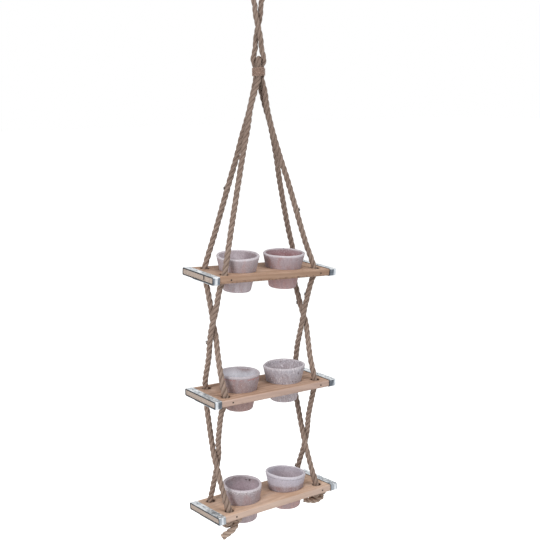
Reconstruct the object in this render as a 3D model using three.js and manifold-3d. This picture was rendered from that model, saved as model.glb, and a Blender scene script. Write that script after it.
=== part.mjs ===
// A hanging rope shelf: three boards hung one above another on two jute ropes.
// The ropes are bound together at the top, where one of them makes the long loop that goes on
// a hook. Each board has a nailed metal band round both ends and holds two terracotta pots.
// Millimetres, +Z up, +X along the boards, front towards -Y. The origin is the point where the
// inside of the hanging loop bears on its hook.

import * as THREE from 'three';
import { mergeVertices } from 'three/addons/utils/BufferGeometryUtils.js';
import Module from 'manifold-3d';

const wasm = await Module();
wasm.setup();

const degree = Math.PI / 180;

// Fits: the gap between seated pieces, and how far a cutter runs past the face it cuts
const clearance = 0.3;
const overrun = 5;

// Tiers: how far each board's top face lies below the hook, and how the board hangs.
// A rope shelf never hangs quite level: dip lowers the front edge, lean lowers the right end,
// and aside is how far the board hangs to the right of the hook.
const topDrop = 618;
const upperTierGap = 268;
const lowerTierGap = 264;
const middleDrop = topDrop + upperTierGap;
const bottomDrop = middleDrop + lowerTierGap;
const tiers = [
  { name: 'top', drop: topDrop, aside: -0.6, dip: 2 * degree, lean: 2.8 * degree },
  { name: 'middle', drop: middleDrop, aside: -2, dip: 0.1 * degree, lean: 0.8 * degree },
  { name: 'bottom', drop: bottomDrop, aside: 2, dip: -2.9 * degree, lean: -0.9 * degree },
];

// Boards. Their length follows from what stands on them, below.
const boardDeep = 128;
const boardThick = 15;
const boardEdgeRound = 2.4;
const boardEndBevel = 0.8;

// Rope holes near the corners of each board, placed between the pots' rims and the ends
const ropeHoleDia = 20;
const ropeHoleFromEnd = 41;
const ropeHoleFromEdge = 24;
const ropeHoleFromRim = 12.5;

// Pots: a plain taper with a thick rounded lip, sunk in its hole up to potProud below the rim.
// The two widths are those of the taper, before its rim and its foot are rounded off.
const potGap = 27;
const potRimDia = 96;
const potBaseDia = 61;
const potTall = 83;
const potProud = 36;
const potWall = 6.5;
const potFloor = 6;
const potLipRound = 3;
const potBaseRound = 6;
const drainDia = 10;

// Metal bands: a strip wrapped round the board end, its outer edge turned in over the end grain
const bandWideLeft = 16;
const bandWideRight = 18;
const bandThick = 0.8;
const bandLip = 3;
const bandLipRound = 1.6;
const bandInnerEnd = 44;
const bandOuterEnd = 22;

// Tacks in the top of each band, with their places as shares of the board's depth
const tackHeadDia = 3.2;
const tackHeadThick = 0.7;
const tackShankDia = 1.2;
const tackLong = 9;
const tackPlaceShares = [0.35, 0.14, -0.06, -0.3];

// Nails driven through the long edges into the ropes, each a little aside of its rope hole
const nailHeadDia = 3.6;
const nailHeadThick = 0.6;
const nailShankDia = 1.8;
const nailLong = 26;
const nailPointLong = 3;
const nailAside = { left: { front: 4, back: -1 }, right: { front: -1, back: -3 } };

// Ropes
const ropeDia = 12;
const bundleTurn = -34 * degree;

// Binding: a winding of thin twine round the four strands
const bindingDrop = 187.5;
const bindingTurns = 7;
const twineDia = 2.1;
const twineGap = 0.45;
const loopStrandOut = 6.2;
const bightStrandOut = 10.7;

// Below and above the binding the strands run on side by side for a little way
const strandRunOn = 4;

// Short bight above the binding, and the loop strands that part round it, cross and close
const bightStraight = 8;
const loopSwellOut = 12.4;
const loopSwellFlat = 3;
const loopTwistFoot = 137;
const loopTwistHead = 46;
const loopTwistOut = 6.7;
const loopSpreadOut = 10;
const loopSpreadDrop = 33;
const loopEyeOut = 13;

// Stopper knots under the bottom board, in a rope drawn thinner by the pull of the knot.
// Each needs knotRoom, from the middle of its hole to the side of the nearest pot.
const knotRopeDia = 10.4;
const knotBelow = 1;
const knotRoom = 35.2;
const knotTurn = {
  left: { front: 42 * degree, back: -30 * degree },
  right: { front: 56 * degree, back: -140 * degree },
};

// How finely the round shapes are drawn
const potSides = 32;
const ropeHoleSides = 18;
const smallSides = 6;
const cornerSteps = 3;
const lipSteps = 2;
const ropeSides = 8;
const ropeParts = 1;
const knotSides = 7;
const knotParts = 1;
const twineSides = 6;
const stepsPerTurn = 24;

const wood = new THREE.MeshStandardMaterial({ color: 0xb6926f, roughness: 0.75, metalness: 0 });
const zinc = new THREE.MeshStandardMaterial({ color: 0xb9bec4, roughness: 0.35, metalness: 1 });
const clay = new THREE.MeshStandardMaterial({ color: 0xb09aa0, roughness: 0.9, metalness: 0 });
const jute = new THREE.MeshStandardMaterial({ color: 0x927e6e, roughness: 0.95, metalness: 0 });
const iron = new THREE.MeshStandardMaterial({ color: 0x4a4039, roughness: 0.6, metalness: 1 });

const shelf = new THREE.Group();

// Solids

/** A geometry's vertices and triangles, merged, without slivers and with its faces outwards. */
function shell(geometry) {
  const bare = geometry.clone();
  for (const name of Object.keys(bare.attributes)) {
    if (name !== 'position') bare.deleteAttribute(name);
  }
  const merged = mergeVertices(bare);
  const places = merged.getAttribute('position').array;
  const faces = [];
  const corners = [new THREE.Vector3(), new THREE.Vector3(), new THREE.Vector3()];
  let volume = 0;
  for (let i = 0; i < merged.index.count; i += 3) {
    const face = [merged.index.getX(i), merged.index.getX(i + 1), merged.index.getX(i + 2)];
    if (new Set(face).size < 3) continue;
    face.forEach((vertex, k) => corners[k].fromArray(places, vertex * 3));
    volume += corners[0].dot(corners[1].clone().cross(corners[2]));
    faces.push(face);
  }
  if (volume < 0) faces.forEach((face) => face.reverse());
  return { places: new Float32Array(places), faces: new Uint32Array(faces.flat()) };
}

function solidOf(geometry) {
  const { places, faces } = shell(geometry);
  return new wasm.Manifold(new wasm.Mesh({ numProp: 3, vertProperties: places, triVerts: faces }));
}

function geometryOf(solid) {
  const made = solid.getMesh();
  const geometry = new THREE.BufferGeometry();
  geometry.setAttribute('position', new THREE.BufferAttribute(made.vertProperties, 3));
  geometry.setIndex(new THREE.BufferAttribute(made.triVerts, 1));
  geometry.computeVertexNormals();
  return geometry;
}

function addPiece(parent, name, solid, material) {
  const piece = new THREE.Mesh(geometryOf(solid), material);
  piece.name = name;
  parent.add(piece);
  return piece;
}

// Shapes

/** A rectangle with rounded corners, centred on zero, as wide and tall as given. */
function roundedRectangle(wide, tall, round) {
  const right = wide / 2;
  const top = tall / 2;
  const shape = new THREE.Shape();
  shape.absarc(right - round, top - round, round, 0, Math.PI / 2);
  shape.absarc(round - right, top - round, round, Math.PI / 2, Math.PI);
  shape.absarc(round - right, round - top, round, Math.PI, 1.5 * Math.PI);
  shape.absarc(right - round, round - top, round, 1.5 * Math.PI, 2 * Math.PI);
  shape.closePath();
  return shape;
}

/** Turns a shape drawn in X and Y and extruded along Z into one drawn in Y and Z along X. */
const alongBoard = new THREE.Matrix4().makeBasis(
  new THREE.Vector3(0, 1, 0),
  new THREE.Vector3(0, 0, 1),
  new THREE.Vector3(1, 0, 0),
);

/** A board section extruded along X from start to end, in the middle of the board's thickness. */
function boardSection(shape, start, end, edge = 0, edgeSteps = 1) {
  const options = {
    depth: end - start - 2 * edge,
    curveSegments: cornerSteps,
    bevelEnabled: edge > 0,
    bevelThickness: edge,
    bevelSize: edge,
    bevelOffset: -edge,
    bevelSegments: edgeSteps,
  };
  const geometry = new THREE.ExtrudeGeometry(shape, options).applyMatrix4(alongBoard);
  return geometry.translate(start + edge, 0, -boardThick / 2);
}

/** An upright round post, centred on x and y, from low to high. */
function post(dia, sides, x, y, low, high) {
  const geometry = new THREE.CylinderGeometry(dia / 2, dia / 2, high - low, sides);
  return geometry.rotateX(Math.PI / 2).translate(x, y, (low + high) / 2);
}

/** A solid of revolution round Z, from a closed outline of radii and heights. */
function turned(outline, sides) {
  const profile = outline.map(([radius, height]) => new THREE.Vector2(radius, height));
  return new THREE.LatheGeometry(profile, sides).rotateX(Math.PI / 2);
}

/** A curve whose steps fall on its points, so that close points give fine steps. */
class RouteCurve extends THREE.CatmullRomCurve3 {
  getUtoTmapping(share) {
    return share;
  }
}

function roundSection(dia, sides) {
  const shape = new THREE.Shape();
  for (let side = 0; side < sides; side += 1) {
    const angle = (side / sides) * 2 * Math.PI;
    const place = [(dia / 2) * Math.cos(angle), (dia / 2) * Math.sin(angle)];
    if (side === 0) shape.moveTo(...place);
    else shape.lineTo(...place);
  }
  shape.closePath();
  return shape;
}

function tube(curve, dia, sides, steps) {
  return new THREE.ExtrudeGeometry(roundSection(dia, sides), { steps, extrudePath: curve });
}

/** A tube with its rings at a route's points, and as many between them as parts calls for. */
function tubeAlong(points, dia, sides, parts) {
  return tube(new RouteCurve(points), dia, sides, (points.length - 1) * parts);
}

// Places on a board, which the cuts, the ropes, the nails and the bands all share

const potX = (potRimDia + potGap) / 2;
const potUnderBoard = potRadius(potProud + boardThick);
const clearOfRim = potRimDia / 2 + ropeHoleFromRim;
const ropeHoleY = boardDeep / 2 - ropeHoleFromEdge;
const clearOfKnots = Math.sqrt(Math.max(0, (potUnderBoard + knotRoom) ** 2 - ropeHoleY ** 2));
const ropeHoleX = potX + Math.max(clearOfRim, clearOfKnots);
const boardLong = 2 * (ropeHoleX + ropeHoleFromEnd);

/** A pot's outer radius at a depth below its rim. */
function potRadius(depth) {
  return potRimDia / 2 - ((potRimDia - potBaseDia) / 2) * (depth / potTall);
}

const sides = { left: -1, right: 1 };
const faces = { front: -1, back: 1 };

function nailX(side, face) {
  const aside = side < 0 ? nailAside.left : nailAside.right;
  return side * ropeHoleX + (face < 0 ? aside.front : aside.back);
}

// The tiers' frames: everything on a board hangs with it

const frames = tiers.map((tier) => {
  const frame = new THREE.Group();
  frame.position.set(tier.aside, 0, -tier.drop);
  frame.rotation.set(tier.dip, tier.lean, 0, 'ZYX');
  frame.updateMatrixWorld();
  shelf.add(frame);
  return frame;
});

/** A point on a board, given in the board's own frame, in the shelf's frame. */
function onBoard(level, x, y, z) {
  return new THREE.Vector3(x, y, z).applyMatrix4(frames[level].matrixWorld);
}

// Nails and tacks, pointing down with the underside of the head at zero

function edgeNailShape() {
  const outline = [
    [0, nailHeadThick],
    [nailHeadDia / 2, nailHeadThick],
    [nailHeadDia / 2, 0],
    [nailShankDia / 2, 0],
    [nailShankDia / 2, nailPointLong - nailLong],
    [0, -nailLong],
  ];
  return turned(outline, smallSides);
}

/** A cut tack, which tapers all the way from its head to its point. */
function tackShape() {
  const outline = [
    [0, tackHeadThick],
    [tackHeadDia / 2, tackHeadThick],
    [tackHeadDia / 2, 0],
    [tackShankDia / 2, 0],
    [0, -tackLong],
  ];
  return turned(outline, smallSides);
}

/** Places a nail's or a cutter's geometry at the board edge that it is driven into. */
function intoEdge(geometry, side, face) {
  const out = boardDeep / 2 + clearance;
  const turned = geometry.rotateX((-face * Math.PI) / 2);
  return turned.translate(nailX(side, face), face * out, -boardThick / 2);
}

function edgeNail(side, face) {
  return intoEdge(edgeNailShape(), side, face);
}

function edgeNailHole(side, face) {
  const dia = nailShankDia + 2 * clearance;
  return intoEdge(post(dia, smallSides, 0, 0, -nailLong - clearance, overrun), side, face);
}

// Boards

function bandWide(side) {
  return side < 0 ? bandWideLeft : bandWideRight;
}

function tackX(side) {
  return side * (boardLong / 2 - bandWide(side) / 2);
}

function boardSolid() {
  const section = roundedRectangle(boardDeep, boardThick, boardEdgeRound);
  let board = solidOf(boardSection(section, -boardLong / 2, boardLong / 2, boardEndBevel));
  const low = -boardThick - overrun;
  const potHoleDia = 2 * (potRadius(potProud) + clearance);
  for (const side of [-1, 1]) {
    const potHole = post(potHoleDia, potSides, side * potX, 0, low, overrun);
    board = board.subtract(solidOf(potHole));
    for (const face of [-1, 1]) {
      const ropeHole = post(ropeHoleDia, ropeHoleSides, side * ropeHoleX, face * ropeHoleY, low, overrun);
      board = board.subtract(solidOf(ropeHole));
      board = board.subtract(solidOf(edgeNailHole(side, face)));
    }
    for (const share of tackPlaceShares) {
      board = board.subtract(solidOf(tackHole(side, share)));
    }
  }
  return board;
}

// Bands

const bandOuterDeep = boardDeep + 2 * (clearance + bandThick);
const bandOuterTall = boardThick + 2 * (clearance + bandThick);
const bandTop = clearance + bandThick;

function tackHole(side, share) {
  const dia = tackShankDia + 2 * clearance;
  return post(dia, smallSides, tackX(side), share * boardDeep, bandTop - tackLong, overrun);
}

function tackSolid(side, share) {
  return tackShape().translate(tackX(side), share * boardDeep, bandTop + clearance);
}

/** A box from low to high along each axis. */
function block(low, high) {
  const size = high.map((value, axis) => value - low[axis]);
  return new THREE.BoxGeometry(...size).translate(...high.map((value, axis) => (value + low[axis]) / 2));
}

/** The left end's band: the strip's outer end laps over its inner end under the board. */
function bandSolid(side) {
  const inner = -boardLong / 2 + bandWide(side);
  const end = -boardLong / 2 - clearance;
  const outer = end - bandThick;
  const beyond = inner + overrun;
  const round = boardEdgeRound + clearance;
  const outerShape = roundedRectangle(bandOuterDeep, bandOuterTall, round + bandThick);
  const innerShape = roundedRectangle(boardDeep + 2 * clearance, boardThick + 2 * clearance, round);
  const eye = roundedRectangle(boardDeep - 2 * bandLip, boardThick - 2 * bandLip, boardEdgeRound);
  const slice = block([outer - overrun, -boardDeep, -boardDeep], [inner, boardDeep, boardDeep]);

  const wrapped = boardSection(outerShape, outer, beyond, bandLipRound, lipSteps);
  let band = solidOf(wrapped).intersect(solidOf(slice));
  band = band.subtract(solidOf(boardSection(innerShape, end, beyond)));
  band = band.subtract(solidOf(boardSection(eye, outer - overrun, beyond)));

  const middle = -boardThick / 2;
  const belowAll = middle - boardDeep;
  const nearCorner = block([end, -boardDeep, belowAll], [beyond, -bandInnerEnd, middle]);
  band = band.subtract(solidOf(nearCorner));

  const lapStep = bandThick + clearance;
  const lapOuter = roundedRectangle(bandOuterDeep, bandOuterTall + 2 * lapStep, round + bandThick);
  const lapInner = roundedRectangle(boardDeep + 2 * clearance, boardThick + 2 * (clearance + lapStep), round);
  const lapBox = block([end, -boardDeep, belowAll], [inner, bandOuterEnd, middle]);
  let lap = solidOf(boardSection(lapOuter, end, inner));
  lap = lap.subtract(solidOf(boardSection(lapInner, end - overrun, beyond)));
  band = band.add(lap.intersect(solidOf(lapBox)));

  if (side > 0) band = band.rotate([0, 0, 180]);
  for (const share of tackPlaceShares) {
    band = band.subtract(solidOf(tackHole(side, share)));
  }
  return band;
}

// Pots

/** The pot's outline from the lip down the outside, across the foot and up the inside. */
function potSolid(side) {
  const rim = potProud;
  const foot = potProud - potTall;
  const slope = (potRimDia - potBaseDia) / 2 / potTall;
  const footRadius = potRadius(potTall - potBaseRound);
  const floorRadius = footRadius - potWall - slope * potFloor;
  const outline = [
    [potRimDia / 2 - potLipRound - potLipRound * slope, rim],
    [potRimDia / 2 - potLipRound * (1 - Math.SQRT1_2), rim - potLipRound * (1 - Math.SQRT1_2)],
    [potRadius(potLipRound), rim - potLipRound],
    [footRadius, foot + potBaseRound],
    [footRadius - potBaseRound * (1 - Math.SQRT1_2), foot + potBaseRound * (1 - Math.SQRT1_2)],
    [footRadius - potBaseRound, foot],
    [drainDia / 2, foot],
    [drainDia / 2, foot + potFloor],
    [floorRadius - potFloor / 2, foot + potFloor],
    [floorRadius, foot + 1.5 * potFloor],
    [potRadius(potLipRound) - potWall, rim - potLipRound],
    [potRadius(0) - potWall + potLipRound * (1 - Math.SQRT1_2), rim - potLipRound * (1 - Math.SQRT1_2)],
  ];
  outline.push(outline[0]);
  return solidOf(turned(outline, potSides).translate(side * potX, 0, 0));
}

// Ropes

const acrossBundle = new THREE.Vector3(Math.cos(bundleTurn), Math.sin(bundleTurn), 0);
const deepInBundle = new THREE.Vector3(-Math.sin(bundleTurn), Math.cos(bundleTurn), 0);
const bindingTall = bindingTurns * (twineDia + twineGap);
const bindingHead = bindingTall / 2 - bindingDrop;
const bindingFoot = -bindingTall / 2 - bindingDrop;

function inBundle(across, deep, z) {
  const point = acrossBundle.clone().multiplyScalar(across);
  return point.addScaledVector(deepInBundle, deep).setZ(z);
}

/** The strand's place in the binding: the loop's strands lie side by side, the bight's in line. */
function strandAtBinding(side, face, z) {
  if (side === face) return inBundle(0, face * bightStrandOut, z);
  return inBundle(side * loopStrandOut, 0, z);
}

// How each leg hangs, in rope diameters. Each stage is a list of how far down the stage, and how
// far the rope strays there from a straight line: from the binding to the top board along the
// bundle's width, then from board to board along X. The seats are how far along X the rope lies
// from the middle of each hole, at the top and the underside of each board in turn.

const legShares = {
  frontLeft: {
    seats: [0.1, -0.22, -0.25, -0.28, -0.05, 0],
    stages: [
      [[0.07, -0.3], [0.15, -0.55], [0.25, -0.4], [0.4, -0.4], [0.55, -0.3], [0.75, -0.15]],
      [[0.06, -0.58], [0.27, -0.72], [0.42, -1.02], [0.54, -0.94], [0.7, -0.64], [0.93, -0.6]],
      [[0.07, -0.45], [0.25, -0.7], [0.42, -0.9], [0.52, -0.96], [0.64, -0.8], [0.85, -0.5]],
    ],
  },
  backLeft: {
    seats: [0, -0.05, -0.08, -0.1, -0.15, 0],
    stages: [
      [[0.07, 0.22], [0.19, 0.42], [0.3, 0.31], [0.4, 0.36], [0.55, 0.25], [0.8, 0.14]],
      [[0.08, 0.08], [0.3, 0.14], [0.42, 0.06], [0.52, 0.14], [0.63, -0.06], [0.8, -0.22]],
      [[0.08, -0.62], [0.25, -0.56], [0.4, -0.3], [0.5, 0.12], [0.64, 0.17], [0.85, 0]],
    ],
  },
  frontRight: {
    seats: [-0.28, -0.28, -0.2, -0.28, -0.1, 0],
    stages: [
      [[0.07, -0.12], [0.12, -0.4], [0.2, -0.68], [0.4, -0.7], [0.52, -0.52], [0.85, -0.45]],
      [[0.08, -0.55], [0.2, -0.7], [0.35, -0.8], [0.5, -0.72], [0.72, -0.7], [0.9, -0.3]],
      [[0.1, -0.5], [0.3, -0.62], [0.45, -0.7], [0.58, -0.72], [0.68, -0.62], [0.85, -0.4]],
    ],
  },
  backRight: {
    seats: [0, -0.28, -0.1, -0.12, -0.15, 0],
    stages: [
      [[0.07, 0.03], [0.15, 0.22], [0.23, 0.46], [0.42, 0.4], [0.52, 0.2], [0.75, 0.03]],
      [[0.08, -0.5], [0.22, -0.28], [0.38, 0.02], [0.49, 0.36], [0.62, 0.16], [0.8, -0.12]],
      [[0.1, -0.15], [0.32, -0.12], [0.42, 0.14], [0.52, 0.38], [0.68, 0.26], [0.85, -0.12]],
    ],
  },
};

/**
 * One leg from the binding's foot down to its knot. It goes through the top board on its own
 * face, crosses to the other face between boards, and comes back before the bottom board.
 */
function legRoute(side, face, leg) {
  const alongX = new THREE.Vector3(1, 0, 0);
  const hole = (level, z) => {
    const sign = level === 1 ? -face : face;
    return onBoard(level, side * ropeHoleX, sign * ropeHoleY, z);
  };
  const seated = (level, z, seatShare) => hole(level, z).addScaledVector(alongX, seatShare * ropeDia);
  const foot = strandAtBinding(side, face, bindingFoot - strandRunOn);
  const route = [strandAtBinding(side, face, bindingFoot), foot];
  leg.stages.forEach((stage, level) => {
    const from = level === 0 ? foot : hole(level - 1, -boardThick);
    const aside = level === 0 ? acrossBundle : alongX;
    for (const [share, strayShare] of stage) {
      const point = from.clone().lerp(hole(level, 0), share);
      route.push(point.addScaledVector(aside, strayShare * ropeDia));
    }
    route.push(seated(level, 0, leg.seats[2 * level]));
    route.push(seated(level, -boardThick, leg.seats[2 * level + 1]));
  });
  route.pop();
  route.push(hole(2, -boardThick / 2), hole(2, -boardThick - knotBelow));
  return route;
}

/** Points of an upright half circle, from one shoulder over the top to the other. */
function arch(reach, place) {
  const points = [];
  const parts = 6;
  for (let part = 0; part <= parts; part += 1) {
    const angle = (part / parts) * Math.PI;
    points.push(place(-reach * Math.cos(angle), reach * Math.sin(angle)));
  }
  return points;
}

/** The bight rope: up a front leg, over the short arch above the binding, down a back leg. */
function bightRoute() {
  const shoulder = bindingHead + bightStraight;
  return [
    ...legRoute(-1, -1, legShares.frontLeft).reverse(),
    strandAtBinding(-1, -1, bindingHead),
    ...arch(bightStrandOut, (deep, rise) => inBundle(0, deep, shoulder + rise)),
    strandAtBinding(1, 1, bindingHead),
    ...legRoute(1, 1, legShares.backRight),
  ];
}

/** One strand of the loop, up from the binding: it parts round the arch and crosses the other. */
function loopStrand(side) {
  const swellZ = bindingHead + bightStraight + bightStrandOut;
  const route = [
    strandAtBinding(side, -side, bindingHead),
    inBundle(side * loopSwellOut, 0, swellZ - loopSwellFlat),
    inBundle(side * loopSwellOut, 0, swellZ + loopSwellFlat),
  ];
  const parts = 5;
  for (let part = 0; part <= parts; part += 1) {
    const angle = (part / parts) * Math.PI;
    const across = side * loopTwistOut * Math.cos(angle);
    const deep = -side * loopTwistOut * Math.sin(angle);
    const drop = loopTwistFoot + (loopTwistHead - loopTwistFoot) * (part / parts);
    route.push(inBundle(across, deep, -drop));
  }
  route.push(inBundle(-side * loopSpreadOut, 0, -loopSpreadDrop));
  return route;
}

function loopRoute() {
  const eyeZ = ropeDia / 2 - loopEyeOut;
  return [
    ...legRoute(-1, 1, legShares.backLeft).reverse(),
    ...loopStrand(-1),
    ...arch(-loopEyeOut, (across, rise) => inBundle(across, 0, eyeZ - rise)),
    ...loopStrand(1).reverse(),
    ...legRoute(1, -1, legShares.frontRight),
  ];
}

/** A rope with the holes that its two legs' nails have made in it. */
function ropeSolid(route, legs) {
  let rope = solidOf(tubeAlong(route, ropeDia, ropeSides, ropeParts));
  for (const [side, face] of legs) {
    frames.forEach((frame, level) => {
      const here = level === 1 ? -face : face;
      rope = rope.subtract(solidOf(edgeNailHole(side, here).applyMatrix4(frame.matrixWorld)));
    });
  }
  return rope;
}

// Stopper knots: an overhand knot lies flat under the board, as two strands that wind round
// each other on a ring. Where the ring is cut open one end goes up into the rope hole, and the
// other passes under it and is the tail. Shares are of the knotted rope's diameter, from the
// ring's middle: towards the hole, aside, and up.

const knotRingShare = 1.2;
const knotWindShare = 0.54;
const knotOpening = 32 * degree;
const knotClosing = 52 * degree;
const knotRingParts = 24;
const knotNeckShares = [knotRingShare + knotWindShare, 0];
const knotBendShares = [1.64, 0.27, 0.28];
const longTailShares = [
  [1.13, -0.84, -0.9],
  [1.38, -0.46, -1.48],
  [1.53, 0.08, -2.05],
  [1.63, 0.68, -2.6],
  [1.7, 1.3, -3.1],
];
const sideTailShares = [
  [1.28, -0.72, -0.58],
  [1.55, -0.3, -0.74],
  [1.75, 0.2, -0.92],
  [1.85, 0.9, -0.95],
  [1.88, 1.65, -0.85],
  [1.82, 2.4, -0.75],
  [1.7, 3.1, -0.65],
];
const shortTailShares = [
  [1.28, -0.72, -0.58],
  [1.55, -0.3, -0.74],
  [1.74, 0.2, -0.98],
  [1.8, 0.75, -1.2],
];

/** A point of the ring, as far round it as the turn says: two turns close it. */
function knotRing(turn) {
  const radiusShare = knotRingShare + knotWindShare * Math.cos(1.5 * turn);
  const upShare = knotWindShare * Math.sin(1.5 * turn);
  return [radiusShare * Math.cos(turn), radiusShare * Math.sin(turn), upShare];
}

/** A knot whose ring lies away from its hole in the direction given, seen from above. */
function knotSolid(side, face, away, tailShares) {
  const ring = [];
  for (let part = 0; part <= knotRingParts; part += 1) {
    const turned = 4 * Math.PI - knotOpening - knotClosing;
    const turn = knotOpening + (part / knotRingParts) * turned;
    ring.push(knotRing(turn));
  }
  const middle = knotBelow + clearance + (knotWindShare + 0.5) * knotRopeDia;
  const neck = (middle - knotBelow - clearance) / knotRopeDia;
  const shares = [
    [...knotNeckShares, neck],
    [...knotNeckShares, (neck + 2 * knotBendShares[2]) / 3],
    knotBendShares,
    ...ring,
    ...tailShares,
  ];
  const points = shares.map(([out, aside, up]) => {
    const towards = (out - knotNeckShares[0]) * knotRopeDia;
    const point = new THREE.Vector3(
      side * ropeHoleX - towards * Math.cos(away) - aside * knotRopeDia * Math.sin(away),
      face * ropeHoleY - towards * Math.sin(away) + aside * knotRopeDia * Math.cos(away),
      up * knotRopeDia - middle - boardThick,
    );
    return point.applyMatrix4(frames[2].matrixWorld);
  });
  return solidOf(tubeAlong(points, knotRopeDia, knotSides, knotParts));
}

// Binding twine: one unbroken winding, oval because the four strands lie in a diamond

class WindingCurve extends THREE.Curve {
  getPoint(share) {
    const angle = share * bindingTurns * 2 * Math.PI;
    const reach = ropeDia / 2 + clearance + twineDia / 2;
    const across = (loopStrandOut + reach) * Math.cos(angle);
    const deep = (bightStrandOut + reach) * Math.sin(angle);
    return inBundle(across, deep, bindingFoot + share * bindingTall);
  }

  getUtoTmapping(share) {
    return share;
  }
}

/** The least gap between turns of a winding, measured between points a half turn or more apart. */
function leastGap(curve, steps, apart, dia) {
  const points = curve.getSpacedPoints(steps);
  let least = Infinity;
  for (let i = 0; i < points.length; i += 1) {
    for (let j = i + apart; j < points.length; j += 1) {
      least = Math.min(least, points[i].distanceTo(points[j]));
    }
  }
  return least - dia;
}

const winding = new WindingCurve();
const windingSteps = bindingTurns * stepsPerTurn;
const gap = leastGap(winding, windingSteps, stepsPerTurn / 2, twineDia);
console.log(`binding twine: least gap between turns ${gap.toFixed(2)} mm`);

// Assembly

tiers.forEach((tier, level) => {
  const frame = frames[level];
  addPiece(frame, `${tier.name}_board`, boardSolid(), wood);
  for (const [sideName, side] of Object.entries(sides)) {
    addPiece(frame, `${tier.name}_band_${sideName}`, bandSolid(side), zinc);
    addPiece(frame, `${tier.name}_pot_${sideName}`, potSolid(side), clay);
    tackPlaceShares.forEach((share, index) => {
      const name = `${tier.name}_band_${sideName}_tack_${index + 1}`;
      addPiece(frame, name, solidOf(tackSolid(side, share)), iron);
    });
    for (const [faceName, face] of Object.entries(faces)) {
      const name = `${tier.name}_rope_nail_${faceName}_${sideName}`;
      addPiece(frame, name, solidOf(edgeNail(side, face)), iron);
    }
  }
});

addPiece(shelf, 'loop_rope', ropeSolid(loopRoute(), [[-1, 1], [1, -1]]), jute);
addPiece(shelf, 'bight_rope', ropeSolid(bightRoute(), [[-1, -1], [1, 1]]), jute);
addPiece(shelf, 'binding_twine', solidOf(tube(winding, twineDia, twineSides, windingSteps)), jute);
addPiece(shelf, 'knot_front_left', knotSolid(-1, -1, knotTurn.left.front, longTailShares), jute);
addPiece(shelf, 'knot_front_right', knotSolid(1, -1, knotTurn.right.front, sideTailShares), jute);
addPiece(shelf, 'knot_back_left', knotSolid(-1, 1, knotTurn.left.back, shortTailShares), jute);
addPiece(shelf, 'knot_back_right', knotSolid(1, 1, knotTurn.right.back, shortTailShares), jute);

export default shelf;
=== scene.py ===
# %% [markdown]
# # A hanging rope shelf
#
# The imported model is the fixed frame: every size and place is already right in it. This script
# dresses that frame. It makes new pieces for what plain solids can't show, which are laid rope,
# folded metal, thrown clay and planed wood, and it gives each of them a finish made of nodes.
# Everything is in metres, in the frame's own axes: +Z up, +X along the boards, front towards -Y.

# %% Load the frame
import math
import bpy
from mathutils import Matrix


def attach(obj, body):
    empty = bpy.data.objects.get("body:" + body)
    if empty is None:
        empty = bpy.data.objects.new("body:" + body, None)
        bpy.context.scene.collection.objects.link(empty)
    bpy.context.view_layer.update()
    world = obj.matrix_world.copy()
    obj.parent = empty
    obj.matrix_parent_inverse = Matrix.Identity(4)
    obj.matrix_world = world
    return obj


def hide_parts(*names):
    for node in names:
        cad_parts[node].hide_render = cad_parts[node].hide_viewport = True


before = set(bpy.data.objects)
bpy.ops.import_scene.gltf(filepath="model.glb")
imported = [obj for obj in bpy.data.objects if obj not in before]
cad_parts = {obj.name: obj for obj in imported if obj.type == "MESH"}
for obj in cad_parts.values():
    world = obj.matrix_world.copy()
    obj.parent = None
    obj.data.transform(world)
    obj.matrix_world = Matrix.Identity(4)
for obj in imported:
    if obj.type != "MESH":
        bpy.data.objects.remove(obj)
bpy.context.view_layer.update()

import bmesh
import bpy
import numpy as np
from mathutils import Matrix, Vector, noise

mm = 0.001

# %% [markdown]
# ## Camera
#
# Its place was found by laying the boards' corners and the pots' rims over the photograph: a long
# lens from the left, a little above, and a hair out of level. It comes first, because the pots'
# crooked rims are measured along its view.

# %% Aim the camera
image_wide = 540
focal_pixels = 1000
view_turn = math.radians(-34.43)
view_rise = math.radians(10.232)
view_roll = math.radians(-0.602)
view_distance = 2.238
view_height = -0.6225
view_aside = 0.0201
view_far_end = 100


def axes_of(turn, rise, roll=0.0):
    """Right, up and back of what looks at the shelf, and right as it is without the roll."""
    back = Vector((math.sin(turn) * math.cos(rise), -math.cos(turn) * math.cos(rise), math.sin(rise)))
    level = Vector((math.cos(turn), math.sin(turn), 0))
    right = level * math.cos(roll) + back.cross(level) * math.sin(roll)
    return right, back.cross(right), back, level


def stand(thing, right, up, back, distance):
    """Stands a camera or a lamp off from the target, and turns it to look there."""
    turned = Matrix((right, up, back)).transposed().to_4x4()
    thing.matrix_world = Matrix.Translation(target + back * distance) @ turned
    bpy.context.scene.collection.objects.link(thing)


right, up, back, level = axes_of(view_turn, view_rise, view_roll)
target = Vector((0, 0, view_height)) + level * view_aside
lens = bpy.data.cameras.new("camera")
lens.sensor_fit = "HORIZONTAL"
lens.angle = 2 * math.atan(image_wide / 2 / focal_pixels)
lens.clip_end = view_far_end
camera = bpy.data.objects.new("camera", lens)
stand(camera, right, up, back, view_distance)
bpy.context.scene.camera = camera
print("camera at", [round(value, 3) for value in camera.matrix_world.translation])

# %% [markdown]
# ## How the shelf hangs
#
# A rope shelf never hangs quite level. Each tier has a height, a dip of its front edge and a lean
# of its right end, and hangs a little aside. One matrix a tier keeps all of that, so that a piece
# can be modelled level at the origin, with the board's top at zero, and then be put in its place.

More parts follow.
